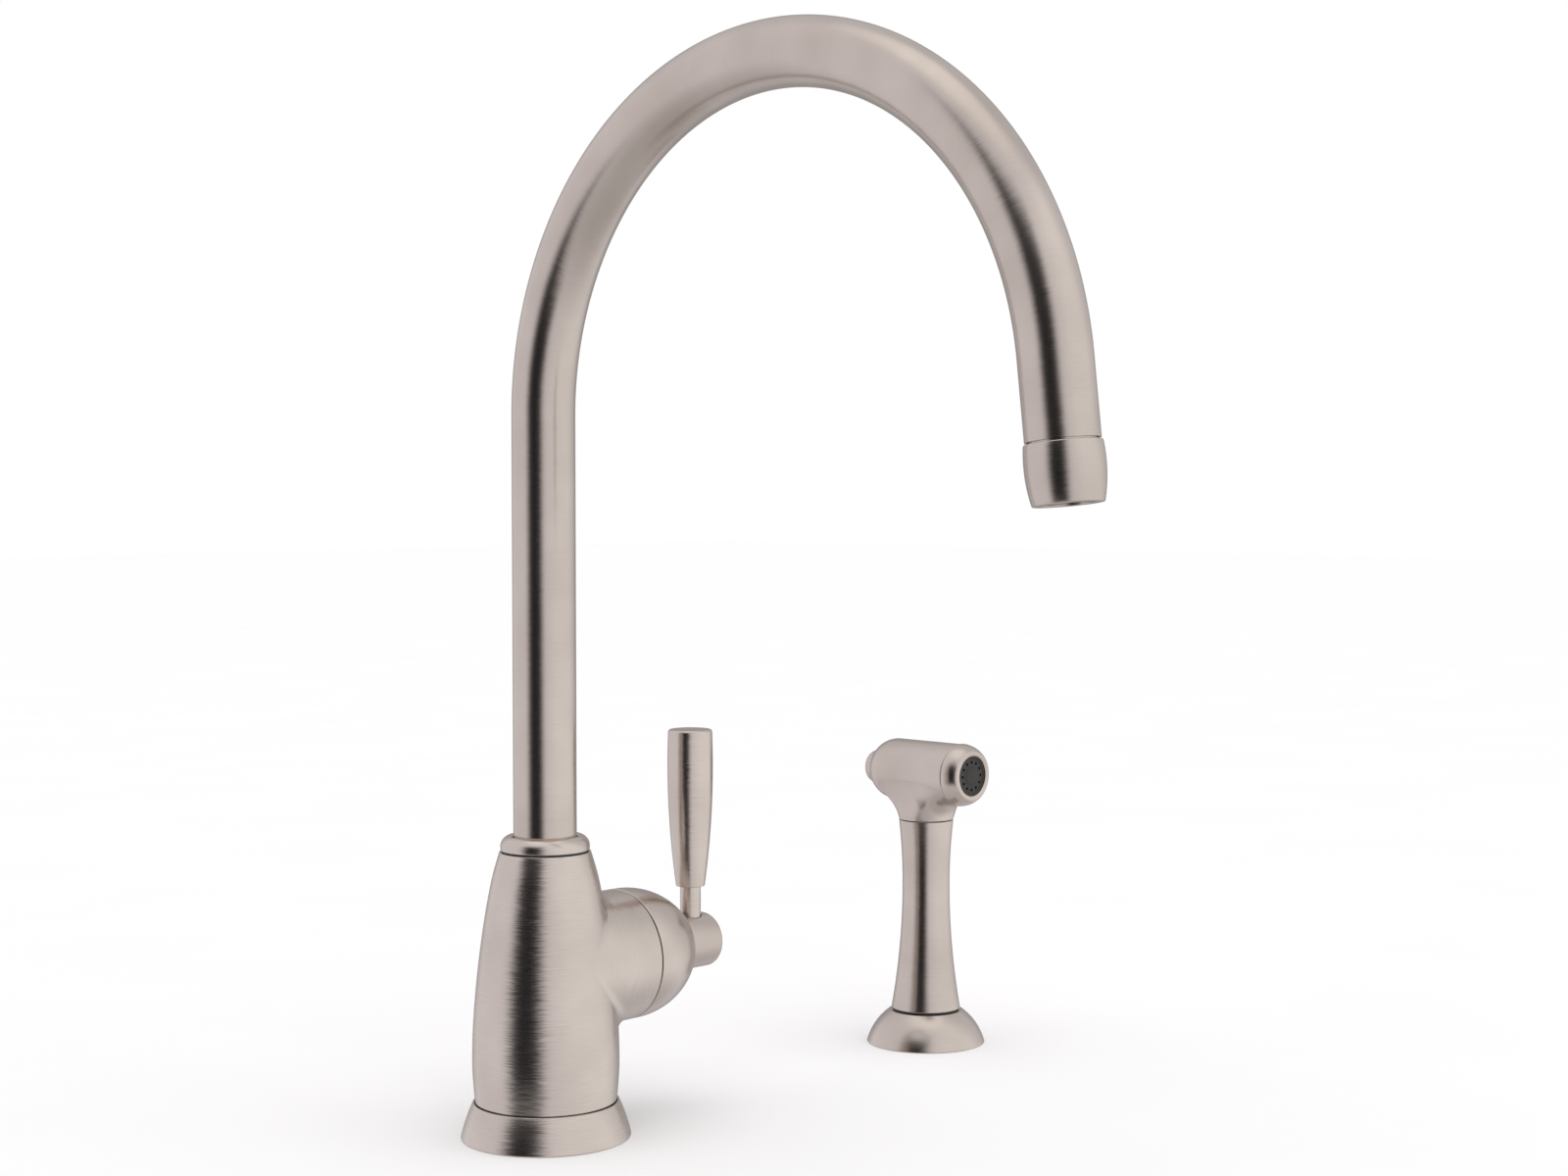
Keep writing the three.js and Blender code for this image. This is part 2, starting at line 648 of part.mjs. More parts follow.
// The way that the stub takes through the dome as the lever tilts.
function stubSweep() {
  const reach = STUB_END + 1;
  const radius = STUB_RADIUS + RUNNING_GAP;
  const tilt = radians(LEVER_TILT);
  const level = alongX(rod(radius, 0, reach));
  const tilted = alongX(rod(radius, 0, reach)).rotateY(tilt);
  const wedge = new THREE.Shape([
    new THREE.Vector2(0, 0),
    new THREE.Vector2(reach * Math.cos(tilt), -reach * Math.sin(tilt)),
    new THREE.Vector2(reach, 0),
  ]);
  const between = new THREE.ExtrudeGeometry(wedge, { depth: 2 * radius, bevelEnabled: false });
  return joined(level, tilted, between.translate(0, 0, -radius).rotateX(Math.PI / 2));
}

// The dome's outside is a superellipse and its inside a ball, both about the pivot.
function makeDome() {
  const outside = [];
  const inside = [];
  for (let i = 0; i < DOME_STEPS; i += 1) {
    const angle = radians((90 * i) / DOME_STEPS);
    const swellOf = (share) => share ** (2 / DOME_POWER);
    outside.push([HUB_RADIUS * swellOf(Math.cos(angle)), DOME_LENGTH * swellOf(Math.sin(angle))]);
    inside.unshift([domeBore * Math.cos(angle), domeBore * Math.sin(angle)]);
  }
  const cup = turned([
    [0, domeBore],
    ...inside,
    [domeBore, -DOME_SKIRT],
    [HUB_RADIUS, -DOME_SKIRT],
    ...outside,
    [0, DOME_LENGTH],
  ]);
  return mesh("valve_dome", cut(alongX(cup), stubSweep()), satinNickel());
}

// The cover that the lever carries inside the dome, with a spigot for the stub and a socket for the stem.
function makeBallCover() {
  const inner = coverRadius - COVER_WALL;
  const angleAt = (radius, ball) => THREE.MathUtils.radToDeg(Math.acos(radius / ball));
  const rim = 90 - COVER_HALF_ANGLE;
  const cover = turned([
    [0, COVER_BOSS_START],
    [COVER_BOSS_RADIUS, COVER_BOSS_START],
    ...arc(0, 0, inner, angleAt(COVER_BOSS_RADIUS, inner), rim, 5),
    ...arc(0, 0, coverRadius, rim, angleAt(STUB_SPIGOT_RADIUS, coverRadius), 6),
    [STUB_SPIGOT_RADIUS, stubSpigotEnd],
    [0, stubSpigotEnd],
  ]);
  const width = STEM_WIDTH + 2 * GAP;
  const socketEnd = STEM_LENGTH + GAP;
  const socket = new THREE.BoxGeometry(width, width, socketEnd).translate(0, 0, socketEnd / 2);
  return mesh("ball_cover", alongX(cut(cover, socket)), steel());
}

function makeStem() {
  const tail = rod(STEM_TAIL_RADIUS, stemTip, 0, WAY_SIDES);
  const tip = new THREE.SphereGeometry(STEM_TIP_RADIUS, 8, 6).translate(0, 0, stemTip);
  const ball = new THREE.SphereGeometry(STEM_BALL_RADIUS, 12, 8);
  const square = new THREE.BoxGeometry(STEM_WIDTH, STEM_WIDTH, STEM_LENGTH).translate(0, 0, STEM_LENGTH / 2);
  return mesh("cartridge_stem", alongX(joined(tail, tip, ball, square)), brass());
}

function makeStub() {
  const spigotBore = STUB_SPIGOT_RADIUS + GAP;
  const boreEnd = stubSpigotEnd + GAP;
  const stub = turned([
    [0, boreEnd],
    [spigotBore, boreEnd],
    [spigotBore, stubFoot],
    [STUB_RADIUS, stubFoot],
    ...arc(STUB_RADIUS - STUB_EDGE, STUB_END - STUB_EDGE, STUB_EDGE, 0, 90, 3),
    [0, STUB_END],
  ]);
  const rodHole = rod(rodBore, -ROD_SINK - GAP, STUB_RADIUS + 1, SMALL_SIDES);
  const screwHole = rod(SET_SCREW_RADIUS + GAP, -STUB_RADIUS - 1, 0, WAY_SIDES);
  const tools = [rodHole.translate(rodPlace, 0, 0), screwHole.translate(screwPlace, 0, 0)];
  return mesh("lever_stub", cut(alongX(stub), ...tools), satinNickel());
}

function makeLever() {
  const screwFoot = SET_SCREW_SINK - STUB_RADIUS;
  const screw = rod(SET_SCREW_RADIUS, screwFoot, -STUB_SPIGOT_RADIUS - FACE_GAP, WAY_SIDES);
  const lever = rod(ROD_RADIUS, -ROD_SINK, GRIP_START + ROD_IN_GRIP, SMALL_SIDES);
  const side = [];
  const straight = GRIP_LENGTH - GRIP_EDGE;
  for (let i = 0; i <= GRIP_STEPS; i += 1) {
    const height = (straight * i) / GRIP_STEPS;
    const fromWidest = 1 - height / (GRIP_WIDEST * GRIP_LENGTH);
    side.push([GRIP_RADIUS - (GRIP_RADIUS - GRIP_FOOT_RADIUS) * fromWidest ** 2, GRIP_START + height]);
  }
  const [topRadius, topHeight] = side.pop();
  const boreEnd = GRIP_START + ROD_IN_GRIP + GAP;
  const grip = turned([
    [0, boreEnd],
    [rodBore, boreEnd],
    [rodBore, GRIP_START],
    ...side,
    ...arc(topRadius - GRIP_EDGE, topHeight, GRIP_EDGE, 0, 90, 3),
    [0, GRIP_START + GRIP_LENGTH],
  ], SIDES);
  return [
    mesh("lever_rod", lever.translate(rodPlace, 0, 0), satinNickel()),
    mesh("lever_grip", grip.translate(rodPlace, 0, 0), satinNickel()),
    mesh("lever_set_screw", screw.translate(screwPlace, 0, 0), steel()),
  ];
}

// ---------------------------------------------------------------------------------------------------
// Spout
// ---------------------------------------------------------------------------------------------------

function makeTube() {
  const section = circleShape(TUBE_RADIUS, SIDES);
  section.holes.push(circleShape(tubeBore, SIDES));
  const curve = new SpoutCurve(collarFoot);
  const options = { extrudePath: curve, steps: curve.steps, bevelEnabled: false };
  return mesh("spout_tube", new THREE.ExtrudeGeometry(section, options), satinNickel());
}

function makeCollar() {
  const bore = TUBE_RADIUS + GAP;
  const rounded = [];
  for (let i = 0; i <= COLLAR_STEPS; i += 1) {
    const angle = radians((90 * i) / COLLAR_STEPS);
    const height = COLLAR_EDGE + (COLLAR_HEIGHT - COLLAR_EDGE) * Math.sin(angle);
    rounded.push([bore + (COLLAR_RADIUS - bore) * Math.cos(angle), collarFoot + height]);
  }
  const collar = turned([[bore, collarFoot], [COLLAR_RADIUS, collarFoot], ...rounded]);
  const washer = ring(SPIGOT_RADIUS + GAP, COLLAR_RADIUS - GAP, BODY_HEIGHT + FACE_GAP, washerTop);
  return [mesh("spout_collar", collar, satinNickel()), mesh("spout_washer", washer, blackPlastic())];
}

function makeSpigot() {
  const grooveFloor = boreRadius - 2 * GAP - 2 * ORING_WIRE;
  const grooveReach = ORING_WIRE + GAP;
  const orings = [BODY_HEIGHT - ORING_INSET - ORING_SPACING, BODY_HEIGHT - ORING_INSET];
  const grooves = orings.flatMap((height) => [
    [SPIGOT_RADIUS, height - grooveReach],
    [grooveFloor, height - grooveReach],
    [grooveFloor, height + grooveReach],
    [SPIGOT_RADIUS, height + grooveReach],
  ]);
  const step = collarFoot + GAP;
  const spigotTop = BODY_HEIGHT + SPIGOT_RISE;
  const spigot = turned([
    [SPIGOT_SEAT_BORE, spigotFoot],
    [SPIGOT_RADIUS, spigotFoot],
    ...grooves,
    [SPIGOT_RADIUS, step],
    [tubeBore - GAP, step],
    [tubeBore - GAP, spigotTop],
    [SPIGOT_BORE, spigotTop],
    [SPIGOT_BORE, spigotFoot + SPIGOT_SEAT],
    [SPIGOT_SEAT_BORE, spigotFoot + SPIGOT_SEAT],
  ]);
  const oringRadius = grooveFloor + GAP + ORING_WIRE;
  return [
    mesh("spout_spigot", spigot, brass()),
    mesh("spigot_oring_lower", oring(oringRadius, orings[0]), blackRubber()),
    mesh("spigot_oring_upper", oring(oringRadius, orings[1]), blackRubber()),
  ];
}

// The poppet that sends water to the side spray, its spring and the guide over them.
function makeDiverter() {
  const foot = spigotFoot + SPIGOT_SEAT + FACE_GAP;
  const springFoot = foot + DIVERTER_THICKNESS + FACE_GAP;
  const retainerFoot = springFoot + DIVERTER_SPRING_LENGTH + FACE_GAP;
  const retainerTop = retainerFoot + RETAINER_THICKNESS;
  const poppet = turned([
    [0, foot],
    [DIVERTER_RADIUS, foot],
    [DIVERTER_RADIUS, foot + DIVERTER_THICKNESS],
    [DIVERTER_STEM_RADIUS, foot + DIVERTER_THICKNESS],
    [DIVERTER_STEM_RADIUS, retainerTop + DIVERTER_STEM_PROUD],
    [0, retainerTop + DIVERTER_STEM_PROUD],
  ], SMALL_SIDES);
  const guide = DIVERTER_STEM_RADIUS + RUNNING_GAP;
  const outer = SPIGOT_BORE - GAP;
  const holeCircle = (guide + outer) / 2;
  const holes = [0, 120, 240].map((angle) => {
    const hole = rod(RETAINER_HOLE_RADIUS, retainerFoot - 1, retainerTop + 1, 8);
    return hole.translate(holeCircle, 0, 0).rotateZ(radians(angle));
  });
  const retainer = cut(ring(guide, outer, retainerFoot, retainerTop), ...holes);
  const coil = spring(
    DIVERTER_SPRING_RADIUS,
    DIVERTER_SPRING_WIRE,
    DIVERTER_SPRING_TURNS,
    springFoot,
    DIVERTER_SPRING_LENGTH,
  );
  return [
    mesh("diverter_poppet", poppet, brass()),
    mesh("diverter_retainer", retainer, whitePlastic()),
    mesh("diverter_spring", coil, steel()),
  ];
}

// The aerator hangs on the tube's end. Its group's Z runs down the tube from the end of the bend.
function makeAerator() {
  const face = SPOUT_DROP + GAP;
  const end = face + AERATOR_LENGTH;
  const ledge = end - AERATOR_LEDGE;
  const mouth = AERATOR_BORE - AERATOR_LEDGE_WIDTH;
  const neck = face - AERATOR_NECK;
  const housing = turned([
    [AERATOR_BORE, neck],
    [tubeBore - GAP, neck],
    [tubeBore - GAP, face],
    ...swell([AERATOR_TOP_RADIUS, face], [AERATOR_MOUTH_RADIUS, end], AERATOR_BULGE, FLANGE_STEPS),
    [mouth, end],
    [mouth, ledge],
    [AERATOR_BORE, ledge],
  ], SIDES);
  const screenEnd = ledge - FACE_GAP;
  const screenStart = screenEnd - AERATOR_SCREEN_LENGTH;
  const screenRadius = AERATOR_BORE - GAP;
  const cup = turned([
    [screenRadius - AERATOR_SCREEN_WALL, screenStart],
    [screenRadius, screenStart],
    [screenRadius, screenEnd],
    [0, screenEnd],
    [0, screenEnd - AERATOR_GRID_THICKNESS],
    [screenRadius - AERATOR_SCREEN_WALL, screenEnd - AERATOR_GRID_THICKNESS],
  ]);
  const gridHole = () => rod(AERATOR_GRID_HOLE, screenStart, screenEnd + 1, WAY_SIDES);
  const holes = [gridHole()];
  for (let i = 0; i < AERATOR_GRID_COUNT; i += 1) {
    const turn = (2 * Math.PI * i) / AERATOR_GRID_COUNT;
    holes.push(gridHole().translate(AERATOR_GRID_CIRCLE, 0, 0).rotateZ(turn));
  }
  const washerEnd = screenStart - FACE_GAP;
  const washerBore = screenRadius - AERATOR_WASHER_WIDTH;
  const washer = ring(washerBore, screenRadius, washerEnd - AERATOR_WASHER_THICKNESS, washerEnd);
  return [
    mesh("aerator_housing", housing, satinNickel()),
    mesh("aerator_screen", cut(cup, ...holes), blackPlastic()),
    mesh("aerator_washer", washer, blackRubber()),
  ];
}

// ---------------------------------------------------------------------------------------------------
// Side spray's deck flange and holder
// ---------------------------------------------------------------------------------------------------

function makeHolder() {
  const bore = sleeveRadius + GAP;
  const grooveInner = bore + GASKET_RIM;
  const grooveOuter = grooveInner + SPRAY_GASKET_WIDTH + 2 * GAP;
  const foot = [SPRAY_FLANGE_RADIUS, 0];
  const top = [SPRAY_FLANGE_TOP_RADIUS, SPRAY_FLANGE_HEIGHT];
  const outline = swell(foot, top, SPRAY_FLANGE_BULGE, FLANGE_STEPS);
  const sleeve = turned([
    [sleeveBore, GASKET_RECESS],
    [sleeveRadius, GASKET_RECESS],
    [sleeveRadius, sleeveRimFoot],
    [SLEEVE_RIM_RADIUS, sleeveRimFoot],
    [SLEEVE_RIM_RADIUS, sleeveRimFoot + SLEEVE_RIM_THICKNESS],
    [sleeveBore, sleeveRimFoot + SLEEVE_RIM_THICKNESS],
  ]);
  return [
    mesh("spray_flange", turned(flangeProfile(bore, outline, grooveInner, grooveOuter)), satinNickel()),
    mesh("spray_gasket", gasket(grooveInner, grooveOuter), blackRubber()),
    mesh("spray_sleeve", sleeve, blackPlastic()),
  ];
}

// ---------------------------------------------------------------------------------------------------
// Handset
// ---------------------------------------------------------------------------------------------------

function makeHandle() {
  const side = [];
  const sideRadius = (height) => {
    const below = height < HANDLE_WAIST;
    const end = below ? HANDLE_FOOT_RADIUS : HANDLE_TOP_RADIUS;
    const span = below ? HANDLE_WAIST : HANDLE_LENGTH - HANDLE_WAIST;
    return HANDLE_WAIST_RADIUS + (end - HANDLE_WAIST_RADIUS) * (Math.abs(height - HANDLE_WAIST) / span) ** 2;
  };
  for (let i = 0; i <= HANDLE_STEPS; i += 1) {
    const height = (HANDLE_LENGTH * i) / HANDLE_STEPS;
    side.push([sideRadius(height), handleFoot + height]);
  }
  const handle = turned([
    [HANDLE_BORE, tailFoot],
    [TAIL_RADIUS, tailFoot],
    [TAIL_RADIUS, handleFoot],
    ...side,
    [HANDLE_BORE, handleTop],
  ]);
  return mesh("spray_handle", handle, satinNickel());
}

// The swivelling end of the hose, whose nipple takes the hose's nut.
function makeConnector() {
  const foot = tailFoot + FACE_GAP;
  const step = foot + CONNECTOR_NIPPLE_LENGTH;
  const top = step + CONNECTOR_LENGTH;
  const grooveHeight = (step + top) / 2;
  const grooveFloor = HANDLE_BORE - 2 * GAP - 2 * ORING_WIRE;
  const grooveReach = ORING_WIRE + GAP;
  const connector = turned([
    [CONNECTOR_BORE, foot],
    [CONNECTOR_NIPPLE_RADIUS, foot],
    [CONNECTOR_NIPPLE_RADIUS, step],
    [connectorRadius, step],
    [connectorRadius, grooveHeight - grooveReach],
    [grooveFloor, grooveHeight - grooveReach],
    [grooveFloor, grooveHeight + grooveReach],
    [connectorRadius, grooveHeight + grooveReach],
    [connectorRadius, top],
    [CONNECTOR_BORE, top],
  ]);
  return [
    mesh("hose_connector", connector, brass()),
    mesh("connector_oring", oring(grooveFloor + GAP + ORING_WIRE, grooveHeight), blackRubber()),
  ];
}

// The head's group has its origin on the barrel's axis. The nozzle faces -Y.
function makeHead() {
  const neckFoot = headFoot - headAxis;
  const spigotEnd = neckFoot - HEAD_SPIGOT_LENGTH;
  const neckSide = [];
  for (let i = 0; i <= NECK_STEPS; i += 1) {
    const t = i / NECK_STEPS;
    neckSide.push([HANDLE_TOP_RADIUS + HEAD_NECK_FLARE * t ** 2, neckFoot * (1 - t)]);
  }
  const neck = turned([
    [0, spigotEnd],
    [HANDLE_BORE - GAP, spigotEnd],
    [HANDLE_BORE - GAP, neckFoot],
    ...neckSide,
    [0, 0],
  ]);
  const barrel = alongY(turned([
    [0, threadFront],
    [HEAD_THREAD_RADIUS, threadFront],
    [HEAD_THREAD_RADIUS, -HEAD_FRONT],
    [HEAD_RADIUS, -HEAD_FRONT],
    ...arc(HEAD_RADIUS - HEAD_ROUND, HEAD_REAR - HEAD_ROUND, HEAD_ROUND, 0, 90, 6),
    [0, HEAD_REAR],
  ], SIDES));
  const hollows = [
    alongY(rod(CHAMBER_RADIUS, threadFront - 1, seatFront)),
    alongY(rod(CHAMBER_RADIUS, seatRear, CHAMBER_REAR)),
    alongY(rod(VALVE_SEAT_BORE, seatFront - 1, seatRear + 1)),
    alongY(rod(BUTTON_RADIUS + GAP, CHAMBER_REAR - 1, HEAD_REAR + 1)),
    rod(HEAD_BORE, spigotEnd - 1, 0),
  ];
  return mesh("spray_head", cut(joined(neck, barrel), ...hollows), satinNickel());
}

function makeNozzle() {
  const roundCentre = NOZZLE_RADIUS - NOZZLE_ROUND;
  const mouthAngle = THREE.MathUtils.radToDeg(Math.acos((NOZZLE_MOUTH_RADIUS - roundCentre) / NOZZLE_ROUND));
  const threadBore = HEAD_THREAD_RADIUS + GAP;
  const nozzleRing = turned([
    [threadBore, nozzleRear],
    [NOZZLE_RADIUS, nozzleRear],
    ...arc(roundCentre, nozzleFront + NOZZLE_ROUND, NOZZLE_ROUND, 0, -mouthAngle, 5),
    [NOZZLE_MOUTH_RADIUS, nozzleFront + NOZZLE_LIP],
    [threadBore, nozzleFront + NOZZLE_LIP],
  ], SIDES);
  const boss = NOZZLE_MOUTH_RADIUS - GAP;
  const plate = turned([
    [0, faceRear],
    [HEAD_THREAD_RADIUS, faceRear],
    [HEAD_THREAD_RADIUS, faceRimFront],
    [boss, faceRimFront],
    [boss, faceFront],
    [0, faceFront],
  ]);
  const holes = [];
  for (let i = 0; i < FACE_HOLES; i += 1) {
    const hole = rod(FACE_HOLE_RADIUS, faceFront - 1, faceRear + 1, 6).translate(FACE_HOLE_CIRCLE, 0, 0);
    holes.push(hole.rotateZ((2 * Math.PI * i) / FACE_HOLES));
  }
  const seal = ring(CHAMBER_RADIUS, HEAD_THREAD_RADIUS, faceRear + FACE_GAP, threadFront - FACE_GAP);
  return [
    mesh("nozzle_ring", alongY(nozzleRing), satinNickel()),
    mesh("spray_face", alongY(cut(plate, ...holes)), blackPlastic()),
    mesh("nozzle_seal", alongY(seal), blackRubber()),
  ];
}

function makeTrigger() {
  const buttonRear = HEAD_REAR + BUTTON_PROUD;
  const stemEnd = buttonFlangeFront + BUTTON_STEM_SINK;
  const stemBore = VALVE_STEM_RADIUS + GAP;
  const flangeRadius = CHAMBER_RADIUS - RUNNING_GAP;
  const domed = [];
  for (let i = 0; i < BUTTON_STEPS; i += 1) {
    const angle = radians((90 * i) / BUTTON_STEPS);
    domed.push([BUTTON_RADIUS * Math.cos(angle), buttonRear - BUTTON_DOME * (1 - Math.sin(angle))]);
  }
  const button = turned([
    [0, stemEnd + GAP],
    [stemBore, stemEnd + GAP],
    [stemBore, buttonFlangeFront],
    [flangeRadius, buttonFlangeFront],
    [flangeRadius, buttonFlangeRear],
    [BUTTON_RADIUS, buttonFlangeRear],
    ...domed,
    [0, buttonRear],
  ]);
  const sealFront = seatFront - FACE_GAP - VALVE_SEAL_THICKNESS;
  const headRear = sealFront - FACE_GAP;
  const stem = turned([
    [0, headRear - VALVE_HEAD_THICKNESS],
    [VALVE_HEAD_RADIUS, headRear - VALVE_HEAD_THICKNESS],
    [VALVE_HEAD_RADIUS, headRear],
    [VALVE_STEM_RADIUS, headRear],
    [VALVE_STEM_RADIUS, stemEnd],
    [0, stemEnd],
  ]);
  const seal = ring(stemBore, VALVE_HEAD_RADIUS, sealFront, seatFront - FACE_GAP);
  return [
    mesh("spray_button", alongY(button), satinNickel()),
    mesh("spray_valve_stem", alongY(stem), brass()),
    mesh("spray_valve_seal", alongY(seal), blackRubber()),
  ];
}

function makeButtonSpring() {
  const foot = seatRear + FACE_GAP;
  const length = buttonFlangeFront - FACE_GAP - foot;
  const coil = spring(BUTTON_SPRING_RADIUS, BUTTON_SPRING_WIRE, BUTTON_SPRING_TURNS, foot, length);
  return mesh("button_spring", alongY(coil), steel());
}

// ---------------------------------------------------------------------------------------------------
// Assembly
// ---------------------------------------------------------------------------------------------------

const hub = group(0, 0, hubHeight);
hub.add(...makeCartridge(), makeMixingDisc());

const lever = group(pivot, 0, 0);
lever.add(makeDome(), makeBallCover(), makeStem(), makeStub(), ...makeLever());
hub.add(lever);

const bendEnd = new SpoutCurve(collarFoot).getPoint(1 - 1 / (BEND_STEPS + 2));
const aerator = group(bendEnd.x, bendEnd.y, bendEnd.z);
aerator.rotation.x = radians(BEND_ANGLE);
aerator.add(...makeAerator());

const spout = group(0, 0, 0);
spout.add(makeTube(), ...makeCollar(), ...makeSpigot(), ...makeDiverter(), aerator);

const head = group(0, 0, headAxis);
head.add(makeHead(), ...makeNozzle(), ...makeTrigger(), makeButtonSpring());

const spray = group(SPRAY_SPACING, 0, 0);
spray.add(...makeHolder(), makeHandle(), ...makeConnector(), head);

const faucet = group(0, 0, 0);
faucet.add(makeBody(), ...makeBaseFlange(), makeInletPlate(), hub, spout, spray);

export default faucet;
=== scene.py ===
# %% [markdown]
# # A kitchen faucet with its side spray, in satin nickel
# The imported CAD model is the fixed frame. It has the right sizes and joints, but its round shapes are cut
# from flat facets. Here each piece that shows is modelled again, smooth and with its small edges, in the
# same place, and every piece gets the brushed or moulded finish of the real one.
# The faucet stands on the deck at the origin. Its spout points to -Y and its lever and spray lie on +X.

# %% Load the frame
import math

import bmesh
import bpy
from mathutils import Euler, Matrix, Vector


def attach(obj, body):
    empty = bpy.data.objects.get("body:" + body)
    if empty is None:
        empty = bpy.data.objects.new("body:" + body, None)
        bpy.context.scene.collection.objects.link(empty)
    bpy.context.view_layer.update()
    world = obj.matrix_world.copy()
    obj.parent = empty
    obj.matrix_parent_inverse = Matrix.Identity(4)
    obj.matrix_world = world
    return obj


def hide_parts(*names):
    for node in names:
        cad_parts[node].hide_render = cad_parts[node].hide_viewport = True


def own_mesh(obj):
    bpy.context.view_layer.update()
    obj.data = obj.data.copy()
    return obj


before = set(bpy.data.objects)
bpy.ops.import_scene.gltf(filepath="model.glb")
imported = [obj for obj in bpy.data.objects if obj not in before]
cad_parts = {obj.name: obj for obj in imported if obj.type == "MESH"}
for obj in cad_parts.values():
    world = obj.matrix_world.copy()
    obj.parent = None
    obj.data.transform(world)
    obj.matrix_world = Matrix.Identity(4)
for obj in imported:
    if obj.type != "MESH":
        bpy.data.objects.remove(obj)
for leftover in ("Cube", "Light", "Camera"):
    if leftover in bpy.data.objects:
        bpy.data.objects.remove(bpy.data.objects[leftover])
bpy.context.view_layer.update()
MM = 0.001

# %% [markdown]
# ## The camera
# The camera's place was found from the outlines in the photograph: it stands to the left of the faucet, a
# little over half a spout high, and looks slightly down. A lens is stated by its focal length for a sensor
# 36 mm wide. Making it first lets every later step be judged from the right place.

# %% Camera at the photograph's angle
bpy.ops.object.select_all(action="DESELECT")
bpy.ops.object.camera_add(
    location=(-0.5656, -0.6602, 0.2309),
    rotation=(math.radians(87.502), 0, math.radians(-46.12)),
)
camera = bpy.context.object
camera.data.lens = 56.92
camera.data.sensor_width = 36
bpy.context.scene.camera = camera
print("camera", [round(value, 3) for value in camera.location])

# %% [markdown]
# ## Turned pieces
# Nearly every piece of a faucet is turned on a lathe, so the script has a lathe too. A small plane is merged
# into one point, the point is extruded along the outline, and Spin takes the outline round. A circle
# extruded ring by ring would do as well, but an outline keeps all of a piece's sizes in one list.
# Outlines are lists of (radius, height) in millimetres. A third number rounds that corner.

# %% Outlines
def rounded(corners, steps=4):
    """Replaces each corner that has a third number by an arc of that radius."""
    points = []
    for number, corner in enumerate(corners):
        here = Vector(corner[:2])
        if len(corner) == 2:
            points.append(tuple(here))
            continue
        back = (Vector(corners[number - 1][:2]) - here).normalized()
        onward = (Vector(corners[(number + 1) % len(corners)][:2]) - here).normalized()
        half = back.angle(onward) / 2
        centre = here + (back + onward).normalized() * corner[2] / math.sin(half)
        reach = corner[2] / math.tan(half)
        start = here + back * reach - centre
        end = here + onward * reach - centre
        for step in range(steps + 1):
            toward = start.lerp(end, step / steps).normalized()
            points.append(tuple(centre + toward * corner[2]))
    return points


def curve_through(points, steps=4):
    """A smooth curve through the points, with this many steps between each two."""
    spread = [points[0], *points, points[-1]]
    curve = []
    for a, b, c, d in zip(spread, spread[1:], spread[2:], spread[3:]):
        for step in range(steps):
            t = step / steps
            curve.append(tuple(
                0.5 * (
                    2 * q + (r - p) * t + (2 * p - 5 * q + 4 * r - s) * t * t
                    + (3 * q - p - 3 * r + s) * t ** 3
                )
                for p, q, r, s in zip(a, b, c, d)
            ))
    return curve + [points[-1]]


def arc(centre, radius, start, end, steps):
    """Points of an arc in an outline, between two angles in degrees from the radial direction."""
    angles = [math.radians(start + (end - start) * step / steps) for step in range(steps + 1)]
    return [(centre[0] + radius * math.cos(a), centre[1] + radius * math.sin(a)) for a in angles]


def swelling(start, end, bulge, steps):
    """Points from start to end along a parabola that stands out by bulge at its middle."""
    (r0, z0), (r1, z1) = start, end
    length = math.hypot(r1 - r0, z1 - z0)
    points = []
    for step in range(steps + 1):
        t = step / steps
        out = 4 * t * (1 - t) * bulge / length
        points.append((r0 + (r1 - r0) * t + (z1 - z0) * out, z0 + (z1 - z0) * t + (r0 - r1) * out))
    return points


corner = rounded([(0, 0), (9, 0, 1), (9, 9)])[1:-1]
print("a rounded corner:", [(round(r, 2), round(z, 2)) for r, z in corner])

# %% The lathe
MERGE_WITHIN = 0.002 * MM
AXES = {"Z": (0, 0, 0), "X": (0, math.pi / 2, 0), "Y": (-math.pi / 2, 0, 0)}


def choose(piece):
    """Makes piece the only selected object, because an operator acts on all that is selected."""
    bpy.ops.object.select_all(action="DESELECT")
    piece.select_set(True)
    bpy.context.view_layer.objects.active = piece


def smooth(piece, angle=35):
    """Shades a piece smooth, but keeps every edge sharper than this angle in degrees."""
    choose(piece)
    bpy.ops.object.shade_smooth_by_angle(angle=math.radians(angle))
    return piece


def placed(piece, turn, at):
    """Turns a piece from Z to its own axis, moves it to its place and applies both to its mesh."""
    choose(piece)
    piece.rotation_euler = turn
    piece.location = Vector(at) * MM
    bpy.ops.object.transform_apply(location=True, rotation=True, scale=True)
    return piece


